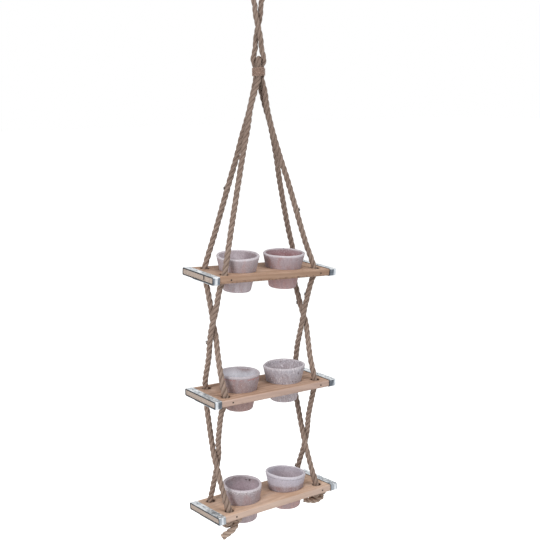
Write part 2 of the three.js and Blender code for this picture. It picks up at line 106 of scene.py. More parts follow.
# %% Tiers, boards and holes
tiers = {
    "top": {"drop": 618 * mm, "aside": -0.6 * mm, "dip": math.radians(2), "lean": math.radians(2.8)},
    "middle": {"drop": 886 * mm, "aside": -2 * mm, "dip": math.radians(0.1), "lean": math.radians(0.8)},
    "bottom": {"drop": 1150 * mm, "aside": 2 * mm, "dip": math.radians(-2.9), "lean": math.radians(-0.9)},
}
sides = {"left": -1, "right": 1}
edges = {"front": -1, "back": 1}
corners = {f"{edge}_{side}": (sides[side], edges[edge]) for edge in edges for side in sides}
board_long = 326 * mm
board_deep = 128 * mm
board_thick = 15 * mm
board_middle = -board_thick / 2
rope_hole_x = 122 * mm
rope_hole_y = 40 * mm
rope_hole_radius = 10 * mm
pot_x = 61.5 * mm


def tier_matrix(drop, aside, dip, lean):
    turn = Matrix.Rotation(lean, 4, "Y") @ Matrix.Rotation(dip, 4, "X")
    return Matrix.Translation((aside, 0, -drop)) @ turn


on_tier = {tier: tier_matrix(**hang) for tier, hang in tiers.items()}
print("tiers:", {tier: round(matrix.translation.z, 3) for tier, matrix in on_tier.items()})

# %% [markdown]
# ## Rope routes
#
# Two ropes hang the shelf. Each goes up through the boards, through the binding near the top and
# down again. Between the boards the two legs of a side cross, because each leg changes from the
# front holes to the back holes. A rope under load is nearly straight: the few small strays of each
# leg were set against the photograph, in rope diameters.

# %% Where each leg hangs
rope_dia = 12 * mm
bundle_turn = math.radians(-34)
binding_turns = 7
binding_pitch = 2.55 * mm
binding_tall = binding_turns * binding_pitch
binding_middle = -187.5 * mm
binding_head = binding_middle + binding_tall / 2
binding_foot = binding_middle - binding_tall / 2
strand_run_on = 4 * mm
loop_strand_out = 6.2 * mm
bight_strand_out = 10.7 * mm
knot_below = 1 * mm
across_bundle = Vector((math.cos(bundle_turn), math.sin(bundle_turn), 0))
deep_in_bundle = Vector((-math.sin(bundle_turn), math.cos(bundle_turn), 0))
along_x = Vector((1, 0, 0))

# Of each leg: how far aside it sits in the top and the foot of each hole, then for each stage
# down its strays, as a share of the way and how far aside.
leg_shares = {
    "front_left": (
        [0.1, -0.22, -0.25, -0.28, -0.05],
        [(0.07, -0.3), (0.15, -0.55), (0.25, -0.4), (0.4, -0.4), (0.55, -0.3), (0.75, -0.15)],
        [(0.06, -0.58), (0.27, -0.72), (0.42, -1.02), (0.54, -0.94), (0.7, -0.64), (0.93, -0.6)],
        [(0.07, -0.45), (0.25, -0.7), (0.42, -0.9), (0.52, -0.96), (0.64, -0.8), (0.85, -0.5)],
    ),
    "back_left": (
        [0, -0.05, -0.08, -0.1, -0.15],
        [(0.07, 0.22), (0.19, 0.42), (0.3, 0.31), (0.4, 0.36), (0.55, 0.25), (0.8, 0.14)],
        [(0.08, 0.08), (0.3, 0.14), (0.42, 0.06), (0.52, 0.14), (0.63, -0.06), (0.8, -0.22)],
        [(0.08, -0.62), (0.25, -0.56), (0.4, -0.3), (0.5, 0.12), (0.64, 0.17), (0.85, 0)],
    ),
    "front_right": (
        [-0.28, -0.28, -0.2, -0.28, -0.1],
        [(0.07, -0.12), (0.12, -0.4), (0.2, -0.68), (0.4, -0.7), (0.52, -0.52), (0.85, -0.45)],
        [(0.08, -0.55), (0.2, -0.7), (0.35, -0.8), (0.5, -0.72), (0.72, -0.7), (0.9, -0.3)],
        [(0.1, -0.5), (0.3, -0.62), (0.45, -0.7), (0.58, -0.72), (0.68, -0.62), (0.85, -0.4)],
    ),
    "back_right": (
        [0, -0.28, -0.1, -0.12, -0.15],
        [(0.07, 0.03), (0.15, 0.22), (0.23, 0.46), (0.42, 0.4), (0.52, 0.2), (0.75, 0.03)],
        [(0.08, -0.5), (0.22, -0.28), (0.38, 0.02), (0.49, 0.36), (0.62, 0.16), (0.8, -0.12)],
        [(0.1, -0.15), (0.32, -0.12), (0.42, 0.14), (0.52, 0.38), (0.68, 0.26), (0.85, -0.12)],
    ),
}


def in_bundle(across, deep, height):
    """A point of the bundle of strands above the top board."""
    point = across_bundle * across + deep_in_bundle * deep
    point.z = height
    return point


def strand_at_binding(side, face, height):
    """In the binding the loop's strands lie side by side, and the bight's in front and behind."""
    if side == face:
        return in_bundle(0, face * bight_strand_out, height)
    return in_bundle(side * loop_strand_out, 0, height)


def rope_hole(tier, side, face, height):
    """The middle of a rope hole, at a height over the board's top."""
    crossed = -face if tier == "middle" else face
    return on_tier[tier] @ Vector((side * rope_hole_x, crossed * rope_hole_y, height))


def leg_route(corner):
    """A leg from the binding's foot down through three boards to its knot."""
    side, face = corners[corner]
    seats, *stages = leg_shares[corner]
    start = strand_at_binding(side, face, binding_foot - strand_run_on)
    route = [strand_at_binding(side, face, binding_foot), start]
    seat = iter(seats)
    aside = across_bundle
    for tier, strays in zip(tiers, stages):
        hole = rope_hole(tier, side, face, 0)
        route += [start.lerp(hole, share) + aside * stray * rope_dia for share, stray in strays]
        route.append(hole + along_x * next(seat) * rope_dia)
        aside = along_x
        start = rope_hole(tier, side, face, -board_thick)
        if tier != "bottom":
            route.append(start + along_x * next(seat) * rope_dia)
    route.append(rope_hole("bottom", side, face, board_middle))
    route.append(rope_hole("bottom", side, face, -board_thick - knot_below))
    return route


print("left front leg:", len(leg_route("front_left")), "points")

# %% [markdown]
# ## The bight and the loop
#
# Above the binding one rope makes a short bight, a plain half circle between the shoulders of the
# other. The other rope parts round that bight, its two strands cross once, and they spread again
# into the eye that goes over a hook. Both arches come from one small function.

# %% Routes over the top
bight_straight = 8 * mm
loop_swell_out = 11.4 * mm
loop_swell_flat = 2 * mm
loop_swell_under = 2 * mm
loop_twist_foot = 137 * mm
loop_twist_head = 46 * mm
loop_twist_out = 6.7 * mm
loop_twist_parts = 5
loop_spread_out = 10 * mm
loop_spread_drop = 33 * mm
loop_eye_out = 13 * mm
arch_parts = 6
curve_parts = 16
rope_step = 2 * mm


def arch(reach, place):
    """Points of an upright half circle, from one shoulder over the top to the other."""
    turns = [math.pi * part / arch_parts for part in range(arch_parts + 1)]
    return [place(-reach * math.cos(turn), reach * math.sin(turn)) for turn in turns]


def bight_route():
    shoulder = binding_head + bight_straight
    return [
        *reversed(leg_route("front_left")),
        strand_at_binding(-1, -1, binding_head),
        *arch(bight_strand_out, lambda deep, rise: in_bundle(0, deep, shoulder + rise)),
        strand_at_binding(1, 1, binding_head),
        *leg_route("back_right"),
    ]


def loop_strand(side):
    """One strand of the loop: it parts round the bight and crosses the other strand."""
    swell = binding_head + bight_straight + bight_strand_out - loop_swell_under
    route = [
        strand_at_binding(side, -side, binding_head),
        in_bundle(side * loop_swell_out, 0, swell - loop_swell_flat),
        in_bundle(side * loop_swell_out, 0, swell + loop_swell_flat),
    ]
    for part in range(loop_twist_parts + 1):
        share = part / loop_twist_parts
        turn = math.pi * share
        drop = loop_twist_foot + (loop_twist_head - loop_twist_foot) * share
        across = side * loop_twist_out * math.cos(turn)
        route.append(in_bundle(across, -side * loop_twist_out * math.sin(turn), -drop))
    route.append(in_bundle(-side * loop_spread_out, 0, -loop_spread_drop))
    return route


def loop_route():
    eye_height = rope_dia / 2 - loop_eye_out
    return [
        *reversed(leg_route("back_left")),
        *loop_strand(-1),
        *arch(-loop_eye_out, lambda across, rise: in_bundle(across, 0, eye_height - rise)),
        *reversed(loop_strand(1)),
        *leg_route("front_right"),
    ]


def run_along(points):
    """How far along the line each of its points lies."""
    return np.concatenate([[0], np.cumsum(np.linalg.norm(np.diff(points, axis=0), axis=1))])


def even_steps(points, step):
    """Evenly spaced points on a centripetal Catmull-Rom curve through a route's points."""
    ring = [2 * points[0] - points[1], *points, 2 * points[-1] - points[-2]]
    fine = []
    for a, b, c, d in zip(ring, ring[1:], ring[2:], ring[3:]):
        t1 = math.sqrt((b - a).length)
        t2 = t1 + math.sqrt((c - b).length)
        t3 = t2 + math.sqrt((d - c).length)
        for part in range(curve_parts):
            t = t1 + (t2 - t1) * part / curve_parts
            ab = a.lerp(b, t / t1)
            bc = b.lerp(c, (t - t1) / (t2 - t1))
            cd = c.lerp(d, (t - t2) / (t3 - t2))
            first = ab.lerp(bc, t / t2)
            last = bc.lerp(cd, (t - t1) / (t3 - t1))
            fine.append(first.lerp(last, (t - t1) / (t2 - t1)))
    fine.append(points[-1])
    fine = np.array([tuple(point) for point in fine])
    run = run_along(fine)
    even = np.linspace(0, run[-1], max(2, round(run[-1] / step) + 1))
    return np.stack([np.interp(even, run, fine[:, axis]) for axis in range(3)], axis=1)


bight_centre = even_steps(bight_route(), rope_step)
loop_centre = even_steps(loop_route(), rope_step)
print(f"bight rope {run_along(bight_centre)[-1]:.3f} m, loop rope {run_along(loop_centre)[-1]:.3f} m")

# %% [markdown]
# ## Laid rope
#
# Jute rope is three strands laid round each other to the right. Three tubes would run through each
# other in the middle, so it is one skin: its section is the outline of three overlapping circles,
# and turns as it goes up the rope, once each lay. Each strand swells and thins a little. The legs
# and the bight carry less pull than the loop, so the rope is fuller there, and at three holes it
# was worked open. The skin keeps a map: strands across, and rope diameters along.

# %% Skin of a laid rope
strand_share = 0.3
strand_out_share = 0.2
strand_wander_share = 0.35
cut_end_map = [(0.5, 0), (0.5, 0.3), (0.5, 0.3)]


def new_piece(name, places, faces, lay_map=None):
    """A piece from its places and faces. With a map of the lay it is smooth, too."""
    mesh = bpy.data.meshes.new(name)
    mesh.from_pydata(np.array(places).tolist(), [], faces)
    if lay_map:
        mesh.polygons.foreach_set("use_smooth", [True] * len(faces))
        mesh.uv_layers.new(name="lay").data.foreach_set("uv", np.array(lay_map).ravel())
    mesh.update()
    piece = bpy.data.objects.new(name, mesh)
    bpy.context.scene.collection.objects.link(piece)
    return piece


def carried_frames(centre):
    """The way along the rope and two directions across it, carried along without any twist."""
    ahead = np.gradient(centre, axis=0)
    tangents = ahead / np.linalg.norm(ahead, axis=1, keepdims=True)
    helper = np.array([1.0, 0.3, 0.2])
    across = []
    for tangent in tangents:
        helper = helper - tangent * helper.dot(tangent)
        helper = helper / np.linalg.norm(helper)
        across.append(helper)
    return tangents, np.array(across), np.cross(tangents, across)


def strand_outline(turns, count):
    """How far the outline of the strands reaches from the middle, in rope diameters."""
    nearest = np.abs(turns * count % 1 - 0.5) * 2 * np.pi / count
    inside = strand_share ** 2 - (strand_out_share * np.sin(nearest)) ** 2
    return strand_out_share * np.cos(nearest) + np.sqrt(np.maximum(inside, 0))


def wander(along, seed):
    """Smooth noise along a rope, one value a point, from about -1 to 1."""
    spots = along * strand_wander_share
    return np.array([noise.noise(Vector((spot, seed, 3.7 * seed))) for spot in spots])


def laid_skin(name, centre, dia, lay, sides, seed, count=3, swell=0.04, fullness=1.0):
    """A closed skin of strands laid round the centre line, with a map of strands and length."""
    across, deep = carried_frames(centre)[1:]
    run = run_along(centre)
    along = run / dia
    turns = np.arange(sides) / sides
    angle = 2 * np.pi * (turns[None, :] + run[:, None] / lay)
    strand = (turns * count).astype(int)
    fatness = np.stack([wander(along, seed + 5 * k) for k in range(count)], axis=1)
    reach = strand_outline(turns, count)[None, :] * dia
    reach = reach * (1 + swell * fatness[:, strand]) * np.reshape(fullness, (-1, 1))
    ring = centre[:, None, :] + (reach * np.cos(angle))[:, :, None] * across[:, None, :]
    ring = ring + (reach * np.sin(angle))[:, :, None] * deep[:, None, :]
    faces = []
    lay_map = []
    for i in range(len(centre) - 1):
        low, high = i * sides, (i + 1) * sides
        for j in range(sides):
            k = (j + 1) % sides
            faces.append((low + j, low + k, high + k, high + j))
            left, far = j / sides * count, (j + 1) / sides * count
            lay_map += [(left, along[i]), (far, along[i]), (far, along[i + 1]), (left, along[i + 1])]
    last = (len(centre) - 1) * sides
    for tip, start, first, second in ((last + sides, 0, 1, 0), (last + sides + 1, last, 0, 1)):
        for j in range(sides):
            faces.append((tip, start + (j + first) % sides, start + (j + second) % sides))
            lay_map += cut_end_map
    return new_piece(name, [*ring.reshape(-1, 3), centre[0], centre[-1]], faces, lay_map)


rope_lay = 45 * mm
rope_sides = 36
open_rope_share = 1.11
opening_long = 40 * mm
bight_share = 1.14
worked_open = (("middle", -1, 0.26), ("bottom", -1, 0.32), ("bottom", 1, 0.14))
worked_above = 14 * mm
worked_long = 17 * mm


def rope_fullness(centre, over_binding=1.0):
    """One where the rope is pulled tight, and more where its strands have come open."""
    down = np.clip((binding_foot - centre[:, 2]) / opening_long, 0, 1)
    full = 1 + (open_rope_share - 1) * down
    for tier, side, more in worked_open:
        mouth = on_tier[tier] @ Vector((side * rope_hole_x, -rope_hole_y, worked_above))
        gap = np.linalg.norm(centre - np.array(mouth), axis=1)
        full = full + more * np.exp(-((gap / worked_long) ** 2))
    up = np.clip((centre[:, 2] - binding_head) / bight_straight, 0, 1)
    return full + (over_binding - 1) * up


bight_rope = laid_skin("bight_rope_laid", bight_centre, rope_dia, rope_lay, rope_sides, 1.3,
                       fullness=rope_fullness(bight_centre, bight_share))
loop_rope = laid_skin("loop_rope_laid", loop_centre, rope_dia, rope_lay, rope_sides, 8.1,
                      fullness=rope_fullness(loop_centre))
print("rope faces:", len(bight_rope.data.polygons), len(loop_rope.data.polygons))

# %% [markdown]
# ## Stopper knots
#
# An overhand knot under the bottom board stops each leg. Its rope lies on a ring, where it winds
# round itself one and a half times in two turns of the ring. One end goes up into the hole, and
# the other passes under the ring and is the tail. The coils are drawn a little closer together
# than the rope is thick, so that they press into one another, and each knot hangs a little below
# its hole, as far as the rope has worked down.

# %% Overhand knots
knot_rope_dia = 10.4 * mm
fit = 0.3 * mm
ring_share = 1.2
wind_share = 0.54
winds_per_turn = 1.5
knot_opening = math.radians(32)
knot_closing = math.radians(52)
ring_parts = 24
knot_lay = 36 * mm
knot_step = 1.6 * mm
knot_sides = 30
neck_rise = 4 * mm
bend_shares = (1.64, 0.27, 0.28)
long_tail_shares = [(1.2, -0.84, -0.82), (1.5, -0.48, -1.26), (1.68, 0.08, -1.72),
                    (1.76, 0.85, -2.26), (1.84, 1.8, -2.88)]
tail_start_shares = [(1.28, -0.72, -0.58), (1.55, -0.3, -0.74)]
side_tail_shares = [*tail_start_shares, (1.75, 0.2, -0.92), (1.85, 0.9, -0.95), (1.88, 1.65, -0.85),
                    (1.82, 2.4, -0.75), (1.7, 3.1, -0.65)]
short_tail_shares = [*tail_start_shares, (1.74, 0.2, -0.98), (1.8, 0.75, -1.2)]

# Of each knot: which way it turns, its tail, how far it has worked down, and how thick it looks.
knot_plans = {
    "front_left": (math.radians(50), long_tail_shares, 3.4 * mm, 15.6 * mm),
    "front_right": (math.radians(56), side_tail_shares, 2 * mm, 13.2 * mm),
    "back_left": (math.radians(-30), short_tail_shares, 2 * mm, 12 * mm),
    "back_right": (math.radians(-140), short_tail_shares, 2 * mm, 12 * mm),
}


def knot_ring(turn):
    out = ring_share + wind_share * math.cos(winds_per_turn * turn)
    return out * math.cos(turn), out * math.sin(turn), wind_share * math.sin(winds_per_turn * turn)


def knot_centre(corner, away, tail, worked_down):
    """The middle of a knot's rope, from inside the rope hole to the cut end of its tail."""
    side, face = corners[corner]
    wound = 4 * math.pi - knot_opening - knot_closing
    middle = knot_below + fit + (wind_share + 0.5) * knot_rope_dia + worked_down
    neck_out = ring_share + wind_share
    neck = (middle - knot_below - fit) / knot_rope_dia
    shares = [
        (neck_out, 0, neck + neck_rise / knot_rope_dia),
        (neck_out, 0, neck),
        (neck_out, 0, (neck + 2 * bend_shares[2]) / 3),
        bend_shares,
        *[knot_ring(knot_opening + part / ring_parts * wound) for part in range(ring_parts + 1)],
        *tail,
    ]
    points = []
    for out, aside, rise in shares:
        towards = (out - neck_out) * knot_rope_dia
        sideways = aside * knot_rope_dia
        x = side * rope_hole_x - towards * math.cos(away) - sideways * math.sin(away)
        y = face * rope_hole_y - towards * math.sin(away) + sideways * math.cos(away)
        z = rise * knot_rope_dia - middle - board_thick
        points.append(on_tier["bottom"] @ Vector((x, y, z)))
    return even_steps(points, knot_step)


knots = {}
knot_centres = {}
for number, (corner, (*plan, thick)) in enumerate(knot_plans.items()):
    centre = knot_centre(corner, *plan)
    name = f"knot_{corner}_laid"
    knots[corner] = laid_skin(name, centre, thick, knot_lay, knot_sides, 20.0 + number)
    knot_centres[corner] = centre
    print(name, f"takes {run_along(centre)[-1]:.3f} m of rope")

# %% [markdown]
# ## Binding twine
#
# Two plies of thin twine are wound seven times round the four strands, close together. The loop's
# strands lie side by side and the bight's in front and behind, so the winding is an oval. Both
# ends of the twine are tucked in under the turns, so the winding curls inwards at its ends.

# %% Wind the binding
twine_dia = 2.5 * mm
twine_lay = 8 * mm
twine_sides = 16
twine_steps_per_turn = 64
tuck = 2.2 * mm
tuck_turns = 0.25


def winding_centre():
    steps = binding_turns * twine_steps_per_turn
    reach = rope_dia / 2 + twine_dia / 2
    points = []
    for step in range(steps + 1):
        share = step / steps
        turn = share * binding_turns * 2 * math.pi
        turns_from_end = min(share, 1 - share) * binding_turns
        inwards = tuck * max(0, 1 - turns_from_end / tuck_turns) ** 2
        across = (loop_strand_out + reach - inwards) * math.cos(turn)
        deep = (bight_strand_out + reach - inwards) * math.sin(turn)
        points.append(tuple(in_bundle(across, deep, binding_foot + share * binding_tall)))
    return np.array(points)


twine_centre = winding_centre()
binding = laid_skin("binding_twine_wound", twine_centre, twine_dia, twine_lay, twine_sides, 40.0,
                    count=2, swell=0.03)
turn_gaps = twine_centre[twine_steps_per_turn:] - twine_centre[:-twine_steps_per_turn]
print(f"binding: {binding_turns} turns, {np.linalg.norm(turn_gaps, axis=1).min() / mm:.2f} mm apart")

# %% [markdown]
# ## Loose fibres
#
# Jute is hairy. Short fibres stand off every rope, mostly along it and a little outwards, and here
# and there a darker tuft sticks out where a yarn was joined. Each fibre is a thin spike of three
# sides and three lengths, so that many of them stay light. They are drawn at random, from a seed.

# %% Grow the fibres
fibre_parts = 3
fibre_corner_turns = (0, 2.094, 4.189)
fibre_taper_share = 0.6
fibre_bend_share = 0.35
fibre_root_share = 0.42
fibre_lift_shares = (0.12, 0.75)
fibre_stray_share = 0.35
shortest_share = 0.3
thinnest_share = 0.5
# Of each kind of hair: how many grow on a metre, the longest and the thickest.
rope_hair = (420, 9 * mm, 0.11 * mm)
knot_hair = (700, 9 * mm, 0.11 * mm)
twine_hair = (160, 5 * mm, 0.07 * mm)
# Of each tuft: which side's leg it is on, its height, and which side of the rope it sticks out of.
bight_tuft_places = [(1, -716 * mm, -1), (1, -1120 * mm, -1), (-1, -770 * mm, -1)]
loop_tuft_places = [(-1, -436 * mm, -1), (1, -490 * mm, 1), (1, -687 * mm, -1)]
tuft_hairs = 36
tuft_long = 5.5 * mm
tuft_thick = 0.8 * mm
tuft_out = 5.8 * mm


def spikes(name, roots, ways, longest, shortening, thickest, rng):
    """Thin three-sided spikes that bend a little, joined into one piece."""
    lengths = rng.uniform(shortest_share, 1, size=len(roots)) ** shortening * longest
    thicks = rng.uniform(thinnest_share, 1, size=len(roots)) * thickest
    places = []
    faces = []
    for root, way, length, thick in zip(roots, ways, lengths, thicks):
        side = np.cross(way, rng.normal(size=3))
        side = side / np.linalg.norm(side)
        other = np.cross(way, side)
        bend = (side * rng.normal() + other * rng.normal()) * fibre_bend_share
        start = len(places)
        for part in range(fibre_parts):
            share = part / fibre_parts
            middle = root + (way * share + bend * share ** 2) * length
            for turn in fibre_corner_turns:
                out = side * math.cos(turn) + other * math.sin(turn)
                places.append(middle + out * thick * (1 - fibre_taper_share * share))
        tip = len(places)
        places.append(root + (way + bend) * length)
        for low in range(start, tip, 3):
            for k in range(3):
                n = (k + 1) % 3
                if low + 3 < tip:
                    faces.append((low + k, low + n, low + 3 + n, low + 3 + k))
                else:
                    faces.append((low + k, low + n, tip))
        faces.append((start + 2, start + 1, start))
    return new_piece(name, places, faces)


def fibres(name, centre, dia, seed, per_metre, longest, thickest):
    rng = np.random.default_rng(seed)
    count = round(run_along(centre)[-1] * per_metre)
    tangents, across, deep = carried_frames(centre)
    picks = rng.integers(2, len(centre) - 2, size=count)
    turns = rng.uniform(0, 2 * math.pi, size=count)
    outward = across[picks] * np.cos(turns)[:, None] + deep[picks] * np.sin(turns)[:, None]
    around = np.cross(tangents[picks], outward)
    signs = rng.choice([-1.0, 1.0], size=count)[:, None]
    lift = rng.uniform(*fibre_lift_shares, size=count)[:, None]
    ways = tangents[picks] * signs + outward * lift
    ways = ways + around * rng.normal(0, fibre_stray_share, size=(count, 1))
    ways = ways / np.linalg.norm(ways, axis=1, keepdims=True)
    roots = centre[picks] + outward * dia * fibre_root_share
    return spikes(name, roots, ways, longest, 1.5, thickest, rng)


def tufts(name, centre, places, seed):
    """Dark bits of bark and loose jute that were laid into the rope and stick out of it."""
    rng = np.random.default_rng(seed)
    tangents = carried_frames(centre)[0]
    roots = []
    ways = []
    for side, height, sticks_to in places:
        missed = np.abs(centre[:, 2] - height) + (centre[:, 0] * side < 0)
        outward = np.array(level) * sticks_to
        for hair in range(tuft_hairs):
            spot = int(missed.argmin()) + int(rng.integers(-1, 2))
            way = outward * rng.uniform(0.3, 1) + tangents[spot] * rng.normal(0, 0.6)
            way = way + rng.normal(0, fibre_stray_share, size=3)
            roots.append(centre[spot] + outward * tuft_out)
            ways.append(way / np.linalg.norm(way))
    return spikes(name, roots, ways, tuft_long, 1, tuft_thick, rng)


bight_tufts = tufts("bight_rope_tufts", bight_centre, bight_tuft_places, 60)
loop_tufts = tufts("loop_rope_tufts", loop_centre, loop_tuft_places, 61)
bight_fibres = fibres("bight_rope_fibres", bight_centre, rope_dia, 11, *rope_hair)
loop_fibres = fibres("loop_rope_fibres", loop_centre, rope_dia, 12, *rope_hair)
knot_fibres = {}
for number, (corner, centre) in enumerate(knot_centres.items()):
    name = f"knot_{corner}_fibres"
    knot_fibres[corner] = fibres(name, centre, knot_rope_dia, 30 + number, *knot_hair)
binding_fibres = fibres("binding_twine_fibres", twine_centre, twine_dia, 50, *twine_hair)
print("fibre faces:", len(bight_fibres.data.polygons), len(loop_fibres.data.polygons))

# %% [markdown]
# ## Working by hand
#
# The hard pieces are modelled with Blender's own operators, as they would be at the screen: add a
# shape, go into edit mode, pick faces or edges, and shape them. These helpers deselect everything
# first, pick by a test on each face or edge, and put the finished piece on its tier.

# %% Helpers for modelling
# How much of the way a face or an edge has to look along an axis, for the tests.
nearly = 0.9
hardly = 0.1
exactly = 0.999


def select(piece):
    bpy.ops.object.select_all(action="DESELECT")
    piece.select_set(True)
    bpy.context.view_layer.objects.active = piece


def add(operator, **settings):
    """Adds a primitive with nothing else selected, and returns it."""
    bpy.ops.object.select_all(action="DESELECT")
    operator(**settings)
    return bpy.context.object


def edit(piece):
    select(piece)
    bpy.ops.object.mode_set(mode="EDIT")
    bpy.ops.mesh.select_all(action="DESELECT")


def done_editing():
    bpy.ops.object.mode_set(mode="OBJECT")


def pick(piece, kind, measured, wanted):
    """Selects the faces or the edges whose two measures pass the test."""
    bpy.ops.mesh.select_mode(type=kind)
    bpy.ops.mesh.select_all(action="DESELECT")
    mesh = bmesh.from_edit_mesh(piece.data)
    mesh.normal_update()
    for part in {"FACE": mesh.faces, "EDGE": mesh.edges}[kind]:
        if wanted(*measured(part)):
            part.select_set(True)
    bmesh.update_edit_mesh(piece.data)


def pick_faces(piece, wanted):
    """Picks faces by their middle and their normal."""
    pick(piece, "FACE", lambda face: (face.calc_center_median(), face.normal), wanted)


def pick_edges(piece, wanted):
    """Picks edges by their middle and the way they run."""
    def measured(edge):
        start, end = edge.verts[0].co, edge.verts[1].co
        return (start + end) / 2, (end - start).normalized()
    pick(piece, "EDGE", measured, wanted)


def delete_faces(piece, wanted):
    pick_faces(piece, wanted)
    bpy.ops.mesh.delete(type="FACE")


def bevel_edges(piece, offset, segments, wanted):
    pick_edges(piece, wanted)
    bpy.ops.mesh.bevel(offset=offset, segments=segments, affect="EDGES")


def apply_modifier(piece, kind, **settings):
    modifier = piece.modifiers.new(kind.lower(), kind)
    for name, value in settings.items():
        setattr(modifier, name, value)
    select(piece)
    bpy.ops.object.modifier_apply(modifier=modifier.name)


def smooth(piece, angle):
    select(piece)
    bpy.ops.object.shade_smooth_by_angle(angle=math.radians(angle), keep_sharp_edges=False)


def place(piece, name, matrix):
    """Puts a finished piece in its place, with its object left at the origin."""
    piece.data.transform(matrix @ piece.matrix_world)
    piece.matrix_world = Matrix.Identity(4)
    piece.name = name
    piece.data.name = name
    return piece


def copy_of(piece, name, matrix):
    """A copy with a mesh of its own, put in its place."""
    twin = piece.copy()
    twin.data = piece.data.copy()
    bpy.context.scene.collection.objects.link(twin)
    return place(twin, name, matrix)


def discard(piece):
    bpy.data.objects.remove(piece, do_unlink=True)


def box_block(long, deep, tall, middle):
    """A plain block, as the start of a piece."""
    block = add(bpy.ops.mesh.primitive_cube_add, size=1, location=(0, 0, 0))
    block.data.transform(Matrix.Translation(middle) @ Matrix.Diagonal((long, deep, tall, 1)))
    return block


print("a face that looks", nearly, "of the way or more towards a side is taken to face it")

# %% [markdown]
# ## Boards
#
# Each board is a planed softwood plank. Its long edges were eased with a plane, its ends only
# broken with sandpaper, and it has two large holes for the pots and four small ones for the ropes.
# The plank starts as a block whose edges are bevelled in edit mode. The holes are Boolean cuts,
# and a narrow Bevel then takes the sharpness off every rim, as a drill and a rasp would leave it.

# %% Cut the boards
board_edge_round = 2.4 * mm
board_end_bevel = 0.8 * mm
hole_rim = 0.5 * mm
pot_rim_radius = 48 * mm
pot_base_radius = 30.5 * mm
pot_tall = 83 * mm
pot_proud = 36 * mm
pot_slope = (pot_rim_radius - pot_base_radius) / pot_tall
pot_hole_radius = pot_rim_radius - pot_slope * pot_proud + fit
pot_hole_sides = 96
rope_hole_sides = 40


def plank():
    """A board, level at the origin, with its top face at zero."""
    board = box_block(board_long, board_deep, board_thick, (0, 0, board_middle))
    edit(board)
    bevel_edges(board, board_edge_round, 5, lambda middle, way: abs(way.x) > nearly)
    bevel_edges(board, board_end_bevel, 2,
                lambda middle, way: abs(way.x) < hardly and abs(middle.x) > nearly * board_long / 2)
    done_editing()
    for side in sides.values():
        holes = [(side * pot_x, 0, pot_hole_radius, pot_hole_sides)]
        holes += [(side * rope_hole_x, face * rope_hole_y, rope_hole_radius, rope_hole_sides)
                  for face in edges.values()]
        for x, y, radius, corner_count in holes:
            cutter = add(bpy.ops.mesh.primitive_cylinder_add, vertices=corner_count, radius=radius,
                         depth=4 * board_thick, location=(x, y, board_middle))
            apply_modifier(board, "BOOLEAN", object=cutter, operation="DIFFERENCE", solver="EXACT")
            discard(cutter)
    apply_modifier(board, "BEVEL", width=hole_rim, segments=2, limit_method="ANGLE",
                   angle_limit=math.radians(60))
    smooth(board, 35)
    return board


plain_board = plank()
boards = {tier: copy_of(plain_board, f"{tier}_board_planed", on_tier[tier]) for tier in tiers}
discard(plain_board)
print("board faces:", len(boards["top"].data.polygons))

# %% [markdown]
# ## End bands
#
# A strip of thin galvanised sheet goes once round each board end and laps over itself under the
# board. Its outer edge is turned in over the end grain with a soft fold. The strip starts as a
# block as large as the band is outside: its long edges and its outer end are rounded, the middle of
# both ends is taken away, and Solidify then gives what is left the thickness of the sheet.

# %% Fold the bands
band_wide = {"left": 16 * mm, "right": 18 * mm}
sheet_thick = 0.8 * mm
band_lip = 3 * mm
fold_round = 1.6 * mm
band_inner_end = 44 * mm
band_outer_end = 22 * mm
band_deep = board_deep + 2 * (fit + sheet_thick)
band_tall = board_thick + 2 * (fit + sheet_thick)
band_round = board_edge_round + fit + sheet_thick
band_over_board = fit + sheet_thick + fit
lap_step = sheet_thick + fit
at_end = 0.01 * mm


def sleeve(start, end, tall):
    """A block round the board end with rounded long edges and no inner end."""
    shell = box_block(end - start, band_deep, tall, ((start + end) / 2, 0, board_middle))
    edit(shell)
    bevel_edges(shell, band_round, 6, lambda middle, way: abs(way.x) > nearly)
    delete_faces(shell, lambda middle, normal: normal.x > nearly)
    return shell


def cut(point, normal, keep_outer=True):
    """Cuts the whole strip along a plane, and takes its outer side away if it isn't kept."""
    bpy.ops.mesh.select_all(action="SELECT")
    bpy.ops.mesh.bisect(plane_co=point, plane_no=normal, clear_outer=not keep_outer)


def band(wide):
    """The left end's band, level at the origin. The right one is the same strip turned round."""
    end = -board_long / 2 - fit
    outer = end - sheet_thick
    inner = -board_long / 2 + wide
    wrap = sleeve(outer, inner, band_tall)
    bevel_edges(wrap, fold_round, 4, lambda middle, way: abs(middle.x - outer) < at_end)
    pick_faces(wrap, lambda middle, normal: normal.x < -exactly)
    bpy.ops.mesh.inset(thickness=band_lip - fold_round, use_even_offset=True)
    delete_faces(wrap, lambda middle, normal: normal.x < -exactly and abs(middle.y) < band_deep / 3
                 and abs(middle.z - board_middle) < band_tall / 4)
    cut((0, 0, board_middle), (0, 0, 1))
    cut((0, -band_inner_end, 0), (0, 1, 0))
    delete_faces(wrap, lambda middle, normal: middle.z < board_middle and middle.y < -band_inner_end
                 and middle.x > end)
    done_editing()

    lap = sleeve(end, inner, band_tall + 2 * lap_step)
    delete_faces(lap, lambda middle, normal: normal.x < -nearly)
    cut((0, 0, board_middle), (0, 0, 1), keep_outer=False)
    cut((0, band_outer_end, 0), (0, 1, 0), keep_outer=False)
    done_editing()

    select(wrap)
    lap.select_set(True)
    bpy.ops.object.join()
    apply_modifier(wrap, "SOLIDIFY", thickness=sheet_thick, offset=-1, use_even_offset=True)
    smooth(wrap, 50)
    return wrap


